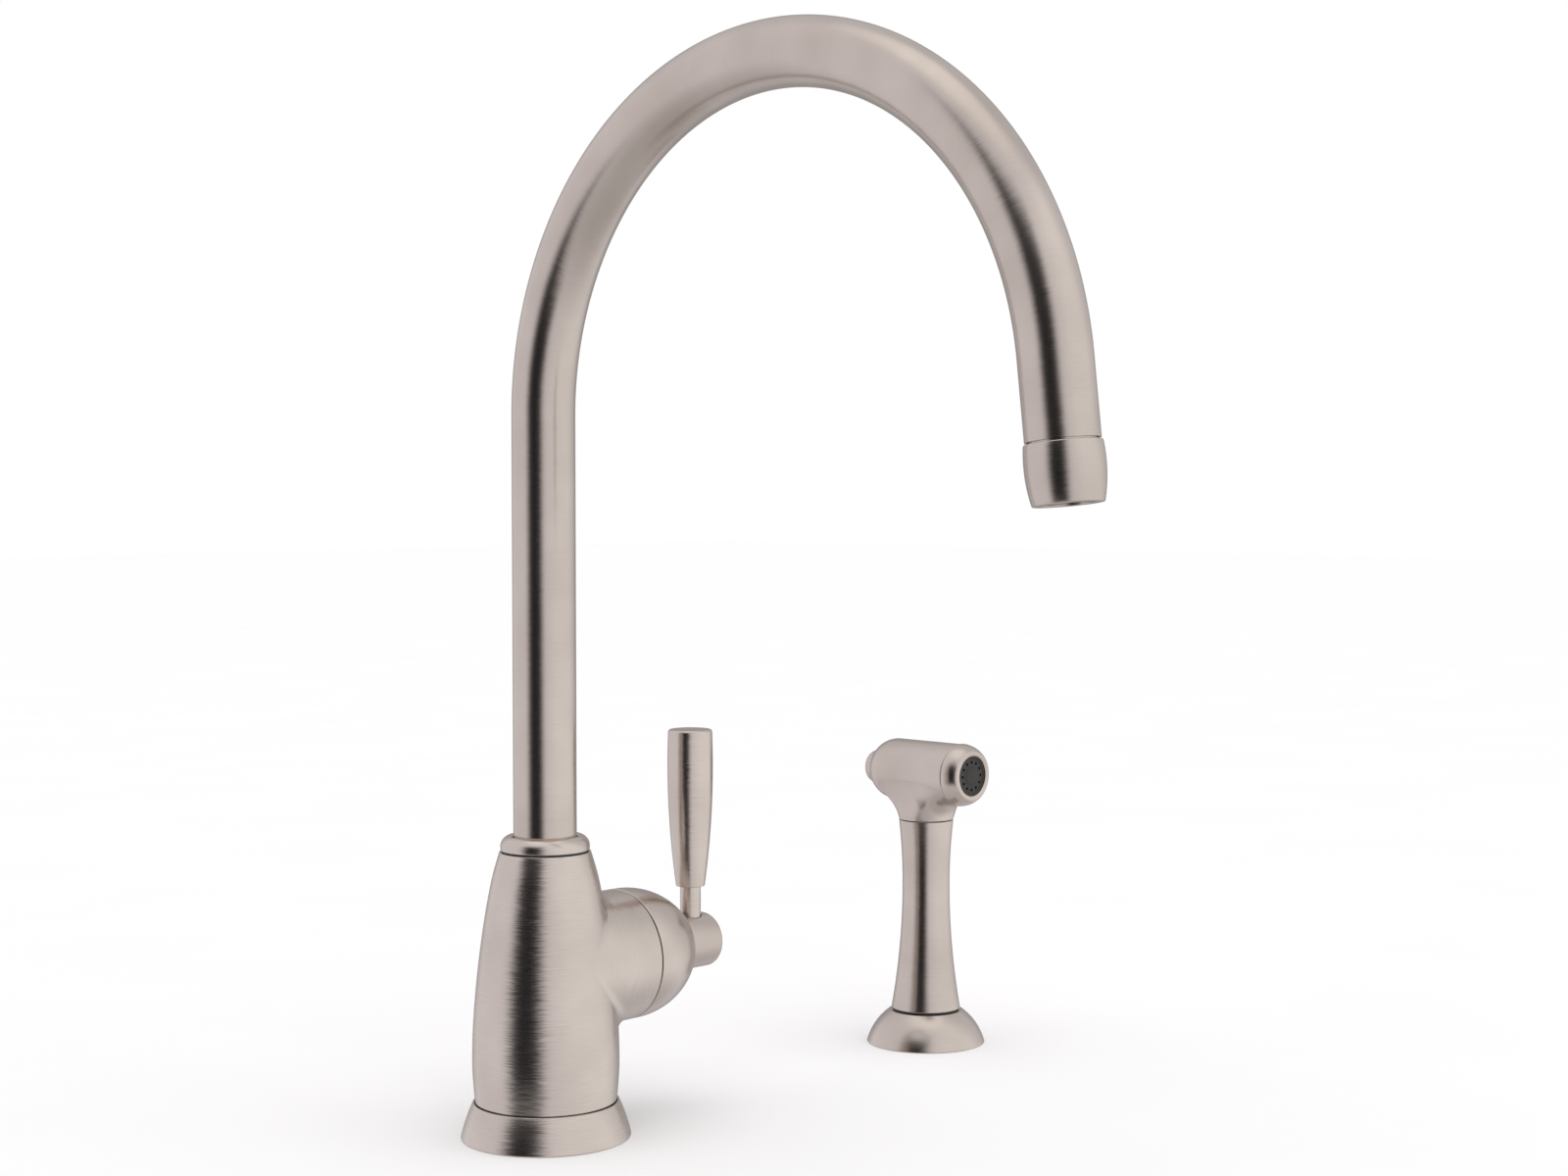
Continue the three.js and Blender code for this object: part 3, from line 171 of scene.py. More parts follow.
def turned(name, outline, axis="Z", at=(0, 0, 0), sides=128, turn=None):
    """A piece turned about an axis through at. An outline closes on itself or on the axis."""
    points = [(radius * MM, height * MM) for radius, height in outline]
    if outline[0][0] > 0:
        points.append(points[0])
    bpy.ops.object.select_all(action="DESELECT")
    bpy.ops.mesh.primitive_plane_add(size=MM)
    piece = bpy.context.object
    piece.name = piece.data.name = name
    bpy.ops.object.mode_set(mode="EDIT")
    bpy.ops.mesh.merge(type="CENTER")
    bpy.ops.transform.translate(value=(points[0][0], 0, points[0][1]))
    for (r0, z0), (r1, z1) in zip(points, points[1:]):
        bpy.ops.mesh.extrude_region_move(TRANSFORM_OT_translate={"value": (r1 - r0, 0, z1 - z0)})
    bpy.ops.mesh.select_all(action="SELECT")
    bpy.ops.mesh.spin(steps=sides, angle=2 * math.pi, center=(0, 0, 0), axis=(0, 0, 1))
    bpy.ops.mesh.select_all(action="SELECT")
    bpy.ops.mesh.remove_doubles(threshold=MERGE_WITHIN)
    bpy.ops.mesh.delete_loose()
    bpy.ops.mesh.select_all(action="SELECT")
    bpy.ops.mesh.normals_make_consistent(inside=False)
    bpy.ops.object.mode_set(mode="OBJECT")
    placed(piece, AXES[axis] if turn is None else turn, at)
    return smooth(piece)


# %% [markdown]
# ## Holes
# Bores and slots are cut with the Boolean modifier, with a bar as the tool. Insets and extrusions could make
# a hole in a flat face, but not one that crosses a curved wall.

# %% Boring tools
def bar(radius, length, axis, at, sides=48):
    """A round cutting tool that starts at a point and runs along an axis."""
    bpy.ops.object.select_all(action="DESELECT")
    bpy.ops.mesh.primitive_cylinder_add(
        radius=radius * MM, depth=length * MM, vertices=sides, location=(0, 0, length * MM / 2)
    )
    tool = bpy.context.object
    bpy.ops.object.transform_apply(location=True, rotation=True, scale=True)
    turn = AXES[axis] if axis in AXES else axis
    return placed(tool, turn, at)


def drilled(piece, *tools):
    """Cuts each tool out of a piece and throws the tool away."""
    for tool in tools:
        cut = piece.modifiers.new("cut", "BOOLEAN")
        cut.operation = "DIFFERENCE"
        cut.solver = "EXACT"
        cut.object = tool
        choose(piece)
        bpy.ops.object.modifier_apply(modifier=cut.name)
        bpy.data.objects.remove(tool)
    return smooth(piece)


print("axes of the tools:", list(AXES))

# %% [markdown]
# ## Satin nickel
# The metal is brushed on a wheel: very fine lines run round each turned piece, and they soften every
# reflection. A photograph of brushed metal would show a seam and a fixed light, so the lines are a noise,
# stretched far round the piece and squeezed along its outline. Its radius is taken from its height, so that
# the lines also circle on end faces. Each line leans the surface a little its own way. That frays the edges
# of a dark reflection, as on the real metal, where a bump would only shift it up and down.

# %% Node helpers
def feed(tree, socket, value):
    """Links another node's output to a socket, or sets the socket to a number or a colour."""
    if isinstance(value, bpy.types.NodeSocket):
        tree.links.new(value, socket)
    else:
        socket.default_value = value


def add(tree, kind, inputs=None, **settings):
    """Adds a node with its settings. Its inputs are given by name or by place."""
    node = tree.nodes.new("ShaderNode" + kind)
    for key, value in settings.items():
        setattr(node, key, value)
    for key, value in (inputs or {}).items():
        feed(tree, node.inputs[key], value)
    return node


def calculate(tree, operation, *values):
    return add(tree, "Math", dict(enumerate(values)), operation=operation).outputs["Value"]


def vectors(tree, operation, *values, output="Vector"):
    return add(tree, "VectorMath", dict(enumerate(values)), operation=operation).outputs[output]


def mapped(tree, value, start, end, low, high, **settings):
    """Follows a value: low where it is start or less, high where it is end or more."""
    names = ("Value", "From Min", "From Max", "To Min", "To Max")
    inputs = dict(zip(names, (value, start, end, low, high)))
    return add(tree, "MapRange", inputs, **settings).outputs["Result"]


def mixed_colour(tree, share, first, second):
    """A colour between two others. Each is a colour or another node's output."""
    mix = add(tree, "Mix", {"Factor": share}, data_type="RGBA")
    # A colour mix keeps its own A, B and Result behind those for numbers, so they are set by place.
    for place, colour in ((6, first), (7, second)):
        feed(tree, mix.inputs[place], colour if isinstance(colour, bpy.types.NodeSocket) else (*colour, 1))
    return mix.outputs[2]


def new_material(name, **constants):
    """A material whose shader has these constant values, with its node tree and shader."""
    material = bpy.data.materials.new(name)
    material.use_nodes = True
    surface = material.node_tree.nodes["Principled BSDF"]
    for key, value in constants.items():
        surface.inputs[key.replace("_", " ")].default_value = value
    return material, material.node_tree, surface


print("materials so far:", len(bpy.data.materials))

# %% Brushed metal
STREAK_LENGTH = 8 * MM
STREAK_WIDTH = 0.25 * MM
STREAK_LEAN = 0.27
STREAK_TONE = 0.7
NICKEL_ROUGHNESS = 0.245
NICKEL_DARK = (0.555, 0.489, 0.440)
NICKEL_LIGHT = (0.72, 0.646, 0.592)


def line_place(tree, turn, centre, attribute):
    """A point in the piece's own axes, and the same point stretched into the place of a streak."""
    source = add(tree, "TexCoord")
    local = add(tree, "Mapping", {"Vector": source.outputs["Object"]}, vector_type="TEXTURE")
    local.inputs["Location"].default_value = Vector(centre) * MM
    local.inputs["Rotation"].default_value = turn
    parts = add(tree, "SeparateXYZ", {"Vector": local.outputs["Vector"]})
    if attribute:
        along = add(tree, "Attribute", attribute_name=attribute).outputs["Fac"]
    else:
        flat = add(tree, "CombineXYZ", {"X": parts.outputs["X"], "Y": parts.outputs["Y"]})
        radius = vectors(tree, "LENGTH", flat.outputs["Vector"], output="Value")
        along = calculate(tree, "SUBTRACT", parts.outputs["Z"], radius)
    place = add(tree, "CombineXYZ", {
        "X": calculate(tree, "DIVIDE", parts.outputs["X"], STREAK_LENGTH),
        "Y": calculate(tree, "DIVIDE", parts.outputs["Y"], STREAK_LENGTH),
        "Z": calculate(tree, "DIVIDE", along, STREAK_WIDTH),
    })
    return local.outputs["Vector"], place.outputs["Vector"]


def brushed_nickel(name, turn=(0, 0, 0), centre=(0, 0, 0), attribute=None, depth=1.0):
    """Satin nickel brushed round the axis of turn and centre. depth scales how strong the lines are."""
    material, tree, surface = new_material(name, Metallic=1.0)
    local, place = line_place(tree, turn, centre, attribute)
    lines = add(tree, "TexNoise", {"Vector": place, "Scale": 1.0, "Detail": 3.0, "Roughness": 0.65})
    cloud = add(tree, "TexNoise", {"Vector": local, "Scale": 38.0, "Detail": 2.0})
    tone = calculate(tree, "MULTIPLY_ADD", lines.outputs["Fac"], STREAK_TONE * depth, cloud.outputs["Fac"])
    share = mapped(tree, tone, 0.45, 1.3, 0.0, 1.0)
    feed(tree, surface.inputs["Base Color"], mixed_colour(tree, share, NICKEL_DARK, NICKEL_LIGHT))
    smoothest = NICKEL_ROUGHNESS - 0.03 * depth
    roughest = NICKEL_ROUGHNESS + 0.04 * depth
    rough = mapped(tree, lines.outputs["Fac"], 0.25, 0.75, smoothest, roughest)
    feed(tree, surface.inputs["Roughness"], rough)
    lean = STREAK_LEAN * depth
    leaning = vectors(tree, "MULTIPLY_ADD", lines.outputs["Color"], (lean,) * 3, (-lean / 2,) * 3)
    facing = vectors(tree, "ADD", add(tree, "NewGeometry").outputs["Normal"], leaning)
    feed(tree, surface.inputs["Normal"], vectors(tree, "NORMALIZE", facing))
    return material


SPRAY = (205.2, 0, 0)
HEAD = (205.2, 0, 111.4)
HUB = (0, 0, 59.5)
nickel_upright = brushed_nickel("Nickel brushed round the body")
nickel_hub = brushed_nickel("Nickel brushed round the hub", AXES["X"], HUB)
nickel_tube = brushed_nickel("Nickel of the spout tube", attribute="along", depth=0.45)
nickel_spray = brushed_nickel("Nickel of the spray handle", centre=SPRAY, depth=0.55)
nickel_head = brushed_nickel("Nickel of the spray head", AXES["Y"], HEAD, depth=0.5)
nickel_grip = brushed_nickel("Nickel of the lever grip", centre=(70.7, 0, 0), depth=0.8)
print("nickel finishes:", [m.name for m in bpy.data.materials if m.name.startswith("Nickel")])

# %% [markdown]
# ## Inner finishes
# Brass, steel, ceramic, plastic and rubber show only when the faucet is seen from below or taken apart. Each
# gets a grain of its own size in its tone, roughness and bump: cast and machined metal is finely uneven,
# moulded plastic has a soft orange-peel skin, and rubber is matt with a coarser grain.

# %% Grained finishes
def grained(name, dark, light, roughness, grain, depth, **constants):
    """A finish with a grain of this size in millimetres, this rough and this deep."""
    material, tree, surface = new_material(name, **constants)
    source = add(tree, "TexCoord").outputs["Object"]
    fine = add(tree, "TexNoise", {"Vector": source, "Scale": 1 / (grain * MM), "Detail": 3.0})
    broad = add(tree, "TexNoise", {"Vector": source, "Scale": 60.0, "Detail": 2.0})
    feed(tree, surface.inputs["Base Color"], mixed_colour(tree, broad.outputs["Fac"], dark, light))
    spread = mapped(tree, fine.outputs["Fac"], 0.3, 0.7, roughness - 0.07, roughness + 0.07)
    feed(tree, surface.inputs["Roughness"], spread)
    bump = add(tree, "Bump", {"Strength": 0.3, "Distance": depth * MM, "Height": fine.outputs["Fac"]})
    feed(tree, surface.inputs["Normal"], bump.outputs["Normal"])
    return material


finishes = {
    "brass": grained("Brass", (0.50, 0.34, 0.13), (0.60, 0.42, 0.18), 0.34, 0.5, 0.02, Metallic=1.0),
    "steel": grained("Steel", (0.50, 0.50, 0.50), (0.60, 0.60, 0.61), 0.30, 0.4, 0.02, Metallic=1.0),
    "ceramic": grained("Ceramic", (0.82, 0.80, 0.76), (0.88, 0.87, 0.84), 0.22, 0.3, 0.01),
    "white_plastic": grained("White plastic", (0.74, 0.73, 0.69), (0.80, 0.79, 0.76), 0.45, 0.6, 0.03),
    "black_plastic": grained("Black plastic", (0.030, 0.029, 0.030), (0.048, 0.046, 0.046), 0.46, 0.6, 0.03),
    "black_rubber": grained("Black rubber", (0.016, 0.016, 0.016), (0.030, 0.029, 0.028), 0.75, 0.9, 0.05),
}
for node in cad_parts.values():
    for slot in node.material_slots:
        slot.material = finishes.get(slot.material.name, nickel_upright)
print("inner finishes:", sorted(finishes))


# %% Handing a piece over
def finished(piece, finish, body, *nodes, slot="satin_nickel"):
    """Gives a piece its finish, lets it ride on its body and lets it stand for its CAD nodes."""
    if not piece.data.materials:
        piece.data.materials.append(finish)
    piece.data.materials[0] = finish
    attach(piece, body)
    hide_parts(*nodes)
    print(piece.name, "on", body, "with", len(piece.data.polygons), "faces")
    return piece


# %% [markdown]
# ## Body
# The body swells from a neck of 32 mm under the spout to a belly of 52 mm, and its foot stands in the base
# flange. It is a hollow casting: the spout's bore comes in from the top, and the valve's cavity from the
# side. The swelling outline is a curve through measured radii, so that the reflections run without a kink.

# %% The body's outline
BODY_SIDE = curve_through([
    (24.95, 13.0), (25.4, 18), (25.78, 24), (25.82, 30), (25.6, 37.7), (25.17, 44.6), (24.58, 51.6),
    (23.88, 58.6), (23.05, 65.5), (22.1, 72.4), (21.0, 79.4), (19.75, 86.3), (18.25, 93.2), (16.1, 100.6),
])
BODY_TOP = 100.6
CAVITY_RADIUS = 17.8
NUT_RADIUS = 20.8
CAVITY_STEP = 27.7


def body_radius(height):
    """The body's radius at a height, between the points of its curve."""
    for (r0, z0), (r1, z1) in zip(BODY_SIDE, BODY_SIDE[1:]):
        if height <= z1:
            return r0 + (r1 - r0) * (height - z0) / (z1 - z0)
    return BODY_SIDE[-1][0]


body = turned("body_casting", rounded([
    (0, 80.3), (9.95, 80.3), (9.95, BODY_TOP), (15.5, BODY_TOP), (15.5, BODY_TOP + 0.15),
    (16.06, BODY_TOP + 0.15, 0.2), *reversed(BODY_SIDE[:-1]),
    (24.4, 13.0), (24.4, 0), (20.3, 0), (20.3, 12.1), (0, 12.1),
]), sides=160)
cavity = turned("cavity", [
    (0, 6.05), (CAVITY_RADIUS, 6.05), (CAVITY_RADIUS, CAVITY_STEP), (NUT_RADIUS, CAVITY_STEP),
    (NUT_RADIUS, 40), (0, 40),
], "X", HUB)
drilled(body, cavity)
print("belly radius", round(max(r for r, z in BODY_SIDE), 2))

# %% [markdown]
# ## The hub and its fillet
# The valve's hub is a short cylinder that grows out of the body, with a small hollow curve all round where
# they meet. A bevel on a Boolean's ragged edge breaks there, because the two are almost as wide as each
# other. So the fillet is worked out as a toolmaker does it: a ball is rolled round the corner, and the
# surface is the arc between the two points that it touches. A ring is extruded step by step, and each of
# its points is set to its place on the arc. A number kept on each point survives the extrusion.

# %% Rings of points set by a formula
def skinned(name, rings, sides, angle=35):
    """Extrudes a ring through the given rings and back to the first. A ring gives a place for an angle."""
    bpy.ops.object.select_all(action="DESELECT")
    bpy.ops.mesh.primitive_circle_add(vertices=sides, radius=MM)
    piece = bpy.context.object
    piece.name = piece.data.name = name
    bpy.ops.object.mode_set(mode="EDIT")
    mesh = bmesh.from_edit_mesh(piece.data)
    number = mesh.verts.layers.int.new("number")
    for count, vertex in enumerate(mesh.verts):
        vertex[number] = count
    for count, ring in enumerate([*rings, rings[0]]):
        if count:
            bpy.ops.mesh.extrude_region_move()
            mesh = bmesh.from_edit_mesh(piece.data)
            number = mesh.verts.layers.int["number"]
        for vertex in mesh.verts:
            if vertex.select:
                vertex.co = ring(2 * math.pi * vertex[number] / sides) * MM
        bmesh.update_edit_mesh(piece.data)
    bpy.ops.mesh.select_all(action="SELECT")
    bpy.ops.mesh.remove_doubles(threshold=MERGE_WITHIN)
    bpy.ops.mesh.normals_make_consistent(inside=False)
    bpy.ops.object.mode_set(mode="OBJECT")
    return smooth(piece, angle)


def between(centre, start, end, share):
    """A point of the arc from start to end round centre."""
    radius = (start - centre).length
    return centre + (start - centre).lerp(end - centre, share).normalized() * radius


# %% The ball rolled round the hub's foot
HUB_RADIUS = 23.55
HUB_FACE = 34.4
HUB_FILLET = 6.5
FILLET_STEPS = 8


def hub_ball(angle):
    """Centre of the ball, where it touches the hub and where it touches the body."""
    across, up = math.cos(angle), math.sin(angle)
    centre = Vector((0, (HUB_RADIUS + HUB_FILLET) * across, HUB[2] + (HUB_RADIUS + HUB_FILLET) * up))
    touch = centre.z
    for _ in range(8):
        slope = (body_radius(touch + 0.5) - body_radius(touch - 0.5)) / 1.0
        touch = centre.z + HUB_FILLET * slope / math.hypot(1, slope)
    out = body_radius(touch) + HUB_FILLET / math.hypot(1, slope)
    centre.x = math.sqrt(max(0.0, out ** 2 - centre.y ** 2))
    share = body_radius(touch) / out
    on_hub = Vector((centre.x, HUB_RADIUS * across, HUB[2] + HUB_RADIUS * up))
    on_body = Vector((centre.x * share, centre.y * share, touch))
    return centre, on_hub, on_body


def fillet_ring(share):
    def place(angle):
        centre, on_hub, on_body = hub_ball(angle)
        return between(centre, on_hub, on_body, share)
    return place


def hub_ring(radius, along):
    return lambda angle: Vector((along, radius * math.cos(angle), HUB[2] + radius * math.sin(angle)))


def sunk_ring(angle):
    """Under the body's skin, where the hub's outside ends out of sight."""
    centre, _, on_body = hub_ball(angle)
    return on_body + (on_body - centre).normalized() * 1.2


hub_rings = [
    hub_ring(CAVITY_RADIUS, 12), hub_ring(CAVITY_RADIUS, CAVITY_STEP),
    hub_ring(NUT_RADIUS, CAVITY_STEP), hub_ring(NUT_RADIUS, HUB_FACE),
]
hub_edge = rounded([(20, HUB_FACE), (HUB_RADIUS, HUB_FACE, 0.35), (HUB_RADIUS, 20)])[1:-1]
hub_rings += [hub_ring(radius, along) for radius, along in hub_edge]
hub_rings += [fillet_ring(step / FILLET_STEPS) for step in range(FILLET_STEPS + 1)]
hub_rings.append(sunk_ring)
hub = skinned("hub", hub_rings, 160)
_, on_top, on_front = hub_ball(math.pi / 2)
print("fillet at the hub's top from x", round(on_front.x, 1), "to", round(on_top.x, 1))

# %% Join the hub to the body
body.data.materials.append(nickel_upright)
hub.data.materials.append(nickel_hub)
choose(hub)
body.select_set(True)
bpy.context.view_layer.objects.active = body
bpy.ops.object.join()
finished(body, nickel_upright, "faucet_base", "body")

# %% [markdown]
# ## Base flange and deck flange
# The faucet and the spray each stand on a flared ring. The faucet's is a nearly straight cone that ends in a
# thin lip round the body. The spray's is rounder, like a bell. Both have a groove below for the gasket that
# seals them to the deck, and softened edges that catch a fine line of light.

# %% The two flanges
base_flange = turned("base_flange_ring", rounded([
    (25.2, 0), (26.3, 0), (26.3, 1.75), (28.9, 1.75), (28.9, 0), (30, 0, 0.45),
    *swelling((30, 0), (25.7, 12.6), 0.35, 10)[1:-1], (25.7, 12.6, 0.25), (25.2, 12.6),
]), sides=160)
finished(base_flange, nickel_upright, "faucet_base", "base_flange")

spray_flange = turned("spray_flange_bell", rounded([
    (12.85, 0), (13.95, 0), (13.95, 1.75), (18.95, 1.75), (18.95, 0), (24.2, 0, 0.4),
    *swelling((24.2, 0), (14.9, 13.3), 1.4, 14)[1:-1], (14.9, 13.3, 0.3), (12.85, 13.3),
]), at=SPRAY, sides=144)
finished(spray_flange, nickel_spray, "faucet_base", "spray_flange")

# %% [markdown]
# ## Spray sleeve
# The handset's tail stands in a black plastic sleeve. Only its rim shows, as the dark line between the
# flange and the handle.

# %% The sleeve
sleeve = turned("holder_sleeve", rounded([
    (10.35, 0.15), (12.55, 0.15), (12.55, 13.4), (13.4, 13.4), (13.4, 14.0, 0.12), (10.35, 14.0, 0.3),
]), at=SPRAY)
finished(sleeve, finishes["black_plastic"], "faucet_base", "spray_sleeve", slot="black_plastic")

# %% [markdown]
# ## Spout tube
# The spout is one 22 mm tube: a straight rise, a bend a little short of a half turn, and a short drop. A
# ring is extruded up, spun round the centre of the bend and extruded on. A Solidify modifier gives it its
# wall. The brush lines run round the tube, so each point keeps how far along the tube it lies, and the
# finish reads that instead of its height.

# %% The tube
TUBE_RADIUS = 11.1
TUBE_FOOT = 101.4
BEND_FOOT = 252.8
BEND_RADIUS = 112.3
BEND_ANGLE = math.radians(173.3)
SPOUT_DROP = 23.9
BEND_END = Vector((
    0, BEND_RADIUS * (math.cos(BEND_ANGLE) - 1), BEND_FOOT + BEND_RADIUS * math.sin(BEND_ANGLE)
))
DOWN = Vector((0, -math.sin(BEND_ANGLE), math.cos(BEND_ANGLE)))


def along_tube(point):
    """How far a point lies along the tube, from the start of the bend, in metres."""
    if point.y > -BEND_RADIUS * MM and point.z < BEND_FOOT * MM:
        return point.z - BEND_FOOT * MM
    angle = math.atan2(point.z - BEND_FOOT * MM, point.y + BEND_RADIUS * MM) % (2 * math.pi)
    if angle <= BEND_ANGLE:
        return BEND_RADIUS * MM * angle
    return BEND_RADIUS * MM * BEND_ANGLE + (point - BEND_END * MM).dot(DOWN)


bpy.ops.object.select_all(action="DESELECT")
bpy.ops.mesh.primitive_circle_add(vertices=96, radius=TUBE_RADIUS * MM, location=(0, 0, TUBE_FOOT * MM))
tube = bpy.context.object
tube.name = tube.data.name = "gooseneck"
bpy.ops.object.transform_apply(location=True, rotation=True, scale=True)
bpy.ops.object.mode_set(mode="EDIT")
RISE_STEPS = 12
rise = Vector((0, 0, BEND_FOOT - TUBE_FOOT)) * MM / RISE_STEPS
for _ in range(RISE_STEPS):
    bpy.ops.mesh.extrude_region_move(TRANSFORM_OT_translate={"value": rise})
bpy.ops.mesh.spin(
    steps=112, angle=BEND_ANGLE, center=(0, -BEND_RADIUS * MM, BEND_FOOT * MM), axis=(-1, 0, 0)
)
DROP_STEPS = 3
for _ in range(DROP_STEPS):
    drop = DOWN * SPOUT_DROP * MM / DROP_STEPS
    bpy.ops.mesh.extrude_region_move(TRANSFORM_OT_translate={"value": drop})
bpy.ops.mesh.select_all(action="SELECT")
bpy.ops.mesh.remove_doubles(threshold=MERGE_WITHIN)
bpy.ops.mesh.normals_make_consistent(inside=False)
bpy.ops.object.mode_set(mode="OBJECT")
lowest = min(v.co.z for v in tube.data.vertices if v.co.y < -BEND_RADIUS * MM)
print("the tube's mouth is", round(lowest / MM, 1), "mm over the deck")

# %% The tube's wall and its lines
wall = tube.modifiers.new("wall", "SOLIDIFY")
wall.thickness = 0.9 * MM
wall.offset = -1
choose(tube)
bpy.ops.object.modifier_apply(modifier=wall.name)
smooth(tube)
along = tube.data.attributes.new("along", "FLOAT", "POINT")
along.data.foreach_set("value", [along_tube(vertex.co) for vertex in tube.data.vertices])
finished(tube, nickel_tube, "spout", "spout_tube")

# %% [markdown]
# ## Collar
# A round-topped ring hides the joint between the tube and the body. A thin dark washer under it, which is
# the CAD's own, lets it turn and shows as a black line.

# %% The collar
COLLAR_SIDE = curve_through([
    (15.68, 102.6), (15.6, 103.5), (15.2, 104.5), (14.55, 105.4), (13.75, 106.05), (12.95, 106.4),
    (12.2, 106.35), (11.4, 105.9),
], 3)
collar = turned("collar_ring", rounded([(11.4, 101.4), (15.6, 101.4, 0.2), *COLLAR_SIDE]), sides=144)
finished(collar, nickel_upright, "spout", "spout_collar")

# %% [markdown]
# ## Aerator
# The barrel on the spout's end is a little fatter than the tube and narrows to its mouth. It is turned on Z
# and then tipped to hang from the end of the bend. Inside its mouth sits the black plastic honeycomb that
# straightens the water: a cup with a ring of round holes and a further ring outside it.

# %% The aerator's barrel
AERATOR_TURN = (BEND_ANGLE, 0, 0)
nickel_aerator = brushed_nickel("Nickel of the aerator", AERATOR_TURN, BEND_END, depth=0.45)
barrel = turned("aerator_barrel", rounded([
    (8.7, 19.2), (9.9, 19.2), (9.9, 24.5), (11.5, 24.5, 0.35),
    *swelling((11.5, 24.5), (10.5, 42.3), 0.82, 14)[1:-1], (10.5, 42.3, 0.35),
    (7.9, 42.3, 0.2), (7.9, 40.8), (8.7, 40.8),
]), at=BEND_END, turn=AERATOR_TURN)
finished(barrel, nickel_aerator, "spout", "aerator_housing")

# %% The honeycomb
HOLE_SPACING = 3.1
HOLE_RADIUS = 1.3
HOLE_START = 37
screen = turned("aerator_honeycomb", rounded([
    (7.2, 27.3), (8.4, 27.3), (8.4, 40.7, 0.2), (0, 40.7), (0, 38.7), (7.2, 38.7),
]), at=BEND_END, turn=AERATOR_TURN, sides=96)
tip = Euler(AERATOR_TURN).to_matrix()
holes = []
for ring in range(3):
    for step in range(max(1, 6 * ring)):
        side, part = divmod(step, max(1, ring))
        outward, onward = math.radians(60 * side), math.radians(60 * (side + 2))
        corner = Vector((math.cos(outward), math.sin(outward), 0)) * ring
        toward = Vector((math.cos(onward), math.sin(onward), 0)) * part
        middle = (corner + toward) * HOLE_SPACING + Vector((0, 0, HOLE_START))
        holes.append(bar(HOLE_RADIUS, 5, AERATOR_TURN, BEND_END + tip @ middle, sides=6))
print(len(holes), "holes in the honeycomb")
drilled(screen, *holes)
finished(screen, finishes["black_plastic"], "spout", "aerator_screen", slot="black_plastic")

# %% [markdown]
# ## Dome
# The dome closes the hub. Its outside is between a ball and a bullet, its inside a plain ball, in which the
# lever's own cover tilts. The slot that the stub tilts through runs down from its middle. A row of bars cuts
# it, each tilted a little further than the last, so that its sides are smooth to a twentieth of a millimetre.

# %% The dome
PIVOT = (38.0, 0, 59.5)
LEVER_TILT = math.radians(18)
DOME_HEIGHT = 27.66
DOME_INSIDE = 21.3
DOME_EDGE = -3.2
SLOT_BARS = 7
nickel_dome = brushed_nickel("Nickel of the dome", AXES["X"], PIVOT, depth=0.7)


def dome_point(angle, power=2 / 1.92):
    """A point of the dome's outside. A ball has a power of 1."""
    return HUB_RADIUS * math.cos(angle) ** power, DOME_HEIGHT * math.sin(angle) ** power


DOME_SIDE = [dome_point(math.pi / 2 * step / 40) for step in range(1, 40)]
dome = turned("lever_dome", rounded([
    (0, DOME_INSIDE), *arc((0, 0), DOME_INSIDE, 88, 0, 22), (DOME_INSIDE, DOME_EDGE),
    (HUB_RADIUS, DOME_EDGE, 0.35), *DOME_SIDE, (0, DOME_HEIGHT),
]), "X", PIVOT, sides=160)
slot_bars = []
for step in range(SLOT_BARS):
    tilt = math.pi / 2 + LEVER_TILT * step / (SLOT_BARS - 1)
    slot_bars.append(bar(10.45, 45, (0, tilt, 0), PIVOT, sides=72))
drilled(dome, *slot_bars)
finished(dome, nickel_dome, "dome", "valve_dome")

# %% [markdown]
# ## Lever
# The lever is five pieces that move as one. A ball cover fills the slot from inside. A stub with a rounded
# end stands out of the dome, a thin rod goes up through it, and the grip sits on the rod. The grip swells
# like a baseball bat: narrow at its foot, widest at three quarters of its height.

# %% Ball cover and stub
COVER = 20.7
cover = turned("slot_cover", [
    (0, 5.5), (7.5, 5.5), *arc((0, 0), COVER - 2, 66.4, 32, 12), *arc((0, 0), COVER, 32, 76, 16),
    (5, 26.95), (0, 26.95),
], "X", PIVOT, sides=96)
bpy.ops.object.select_all(action="DESELECT")
bpy.ops.mesh.primitive_cube_add(size=7.6 * MM)
socket = bpy.context.object
socket.scale.x = 13.6 / 7.6
choose(socket)
bpy.ops.object.transform_apply(location=True, rotation=True, scale=True)
drilled(cover, placed(socket, (0, 0, 0), (PIVOT[0] + 6.5, 0, PIVOT[2])))
finished(cover, finishes["steel"], "lever", "ball_cover", slot="steel")

nickel_stub = brushed_nickel("Nickel of the lever stub", AXES["X"], PIVOT, depth=0.45)
stub = turned("lever_stub_end", rounded([
    (0, 27.25), (5.3, 27.25), (5.3, 21), (10, 21, 0.3), (10, 40.5, 1.6), (0, 40.5),
], 7), "X", PIVOT)
ROD_X = 70.7
drilled(stub, bar(4.15, 14, "Z", (ROD_X, 0, 56.7)), bar(1.8, 12, "Z", (62.95, 0, 48)))
finished(stub, nickel_stub, "lever", "lever_stub")

# %% Rod and grip
rod_side = [(0, 57), (3.85, 57), (3.85, 90), (3.85, 124.2), (0, 124.2)]
rod = turned("lever_rod_bar", rod_side, at=(ROD_X, 0, 0), sides=64)
finished(rod, nickel_grip, "lever", "lever_rod")

GRIP_FOOT = 80.2
GRIP_LENGTH = 58.6


def grip_radius(height):
    """Widest at 0.77 of the grip's length, and 5.35 mm at its foot."""
    return 8.45 - 3.1 * (1 - height / (0.77 * GRIP_LENGTH)) ** 2


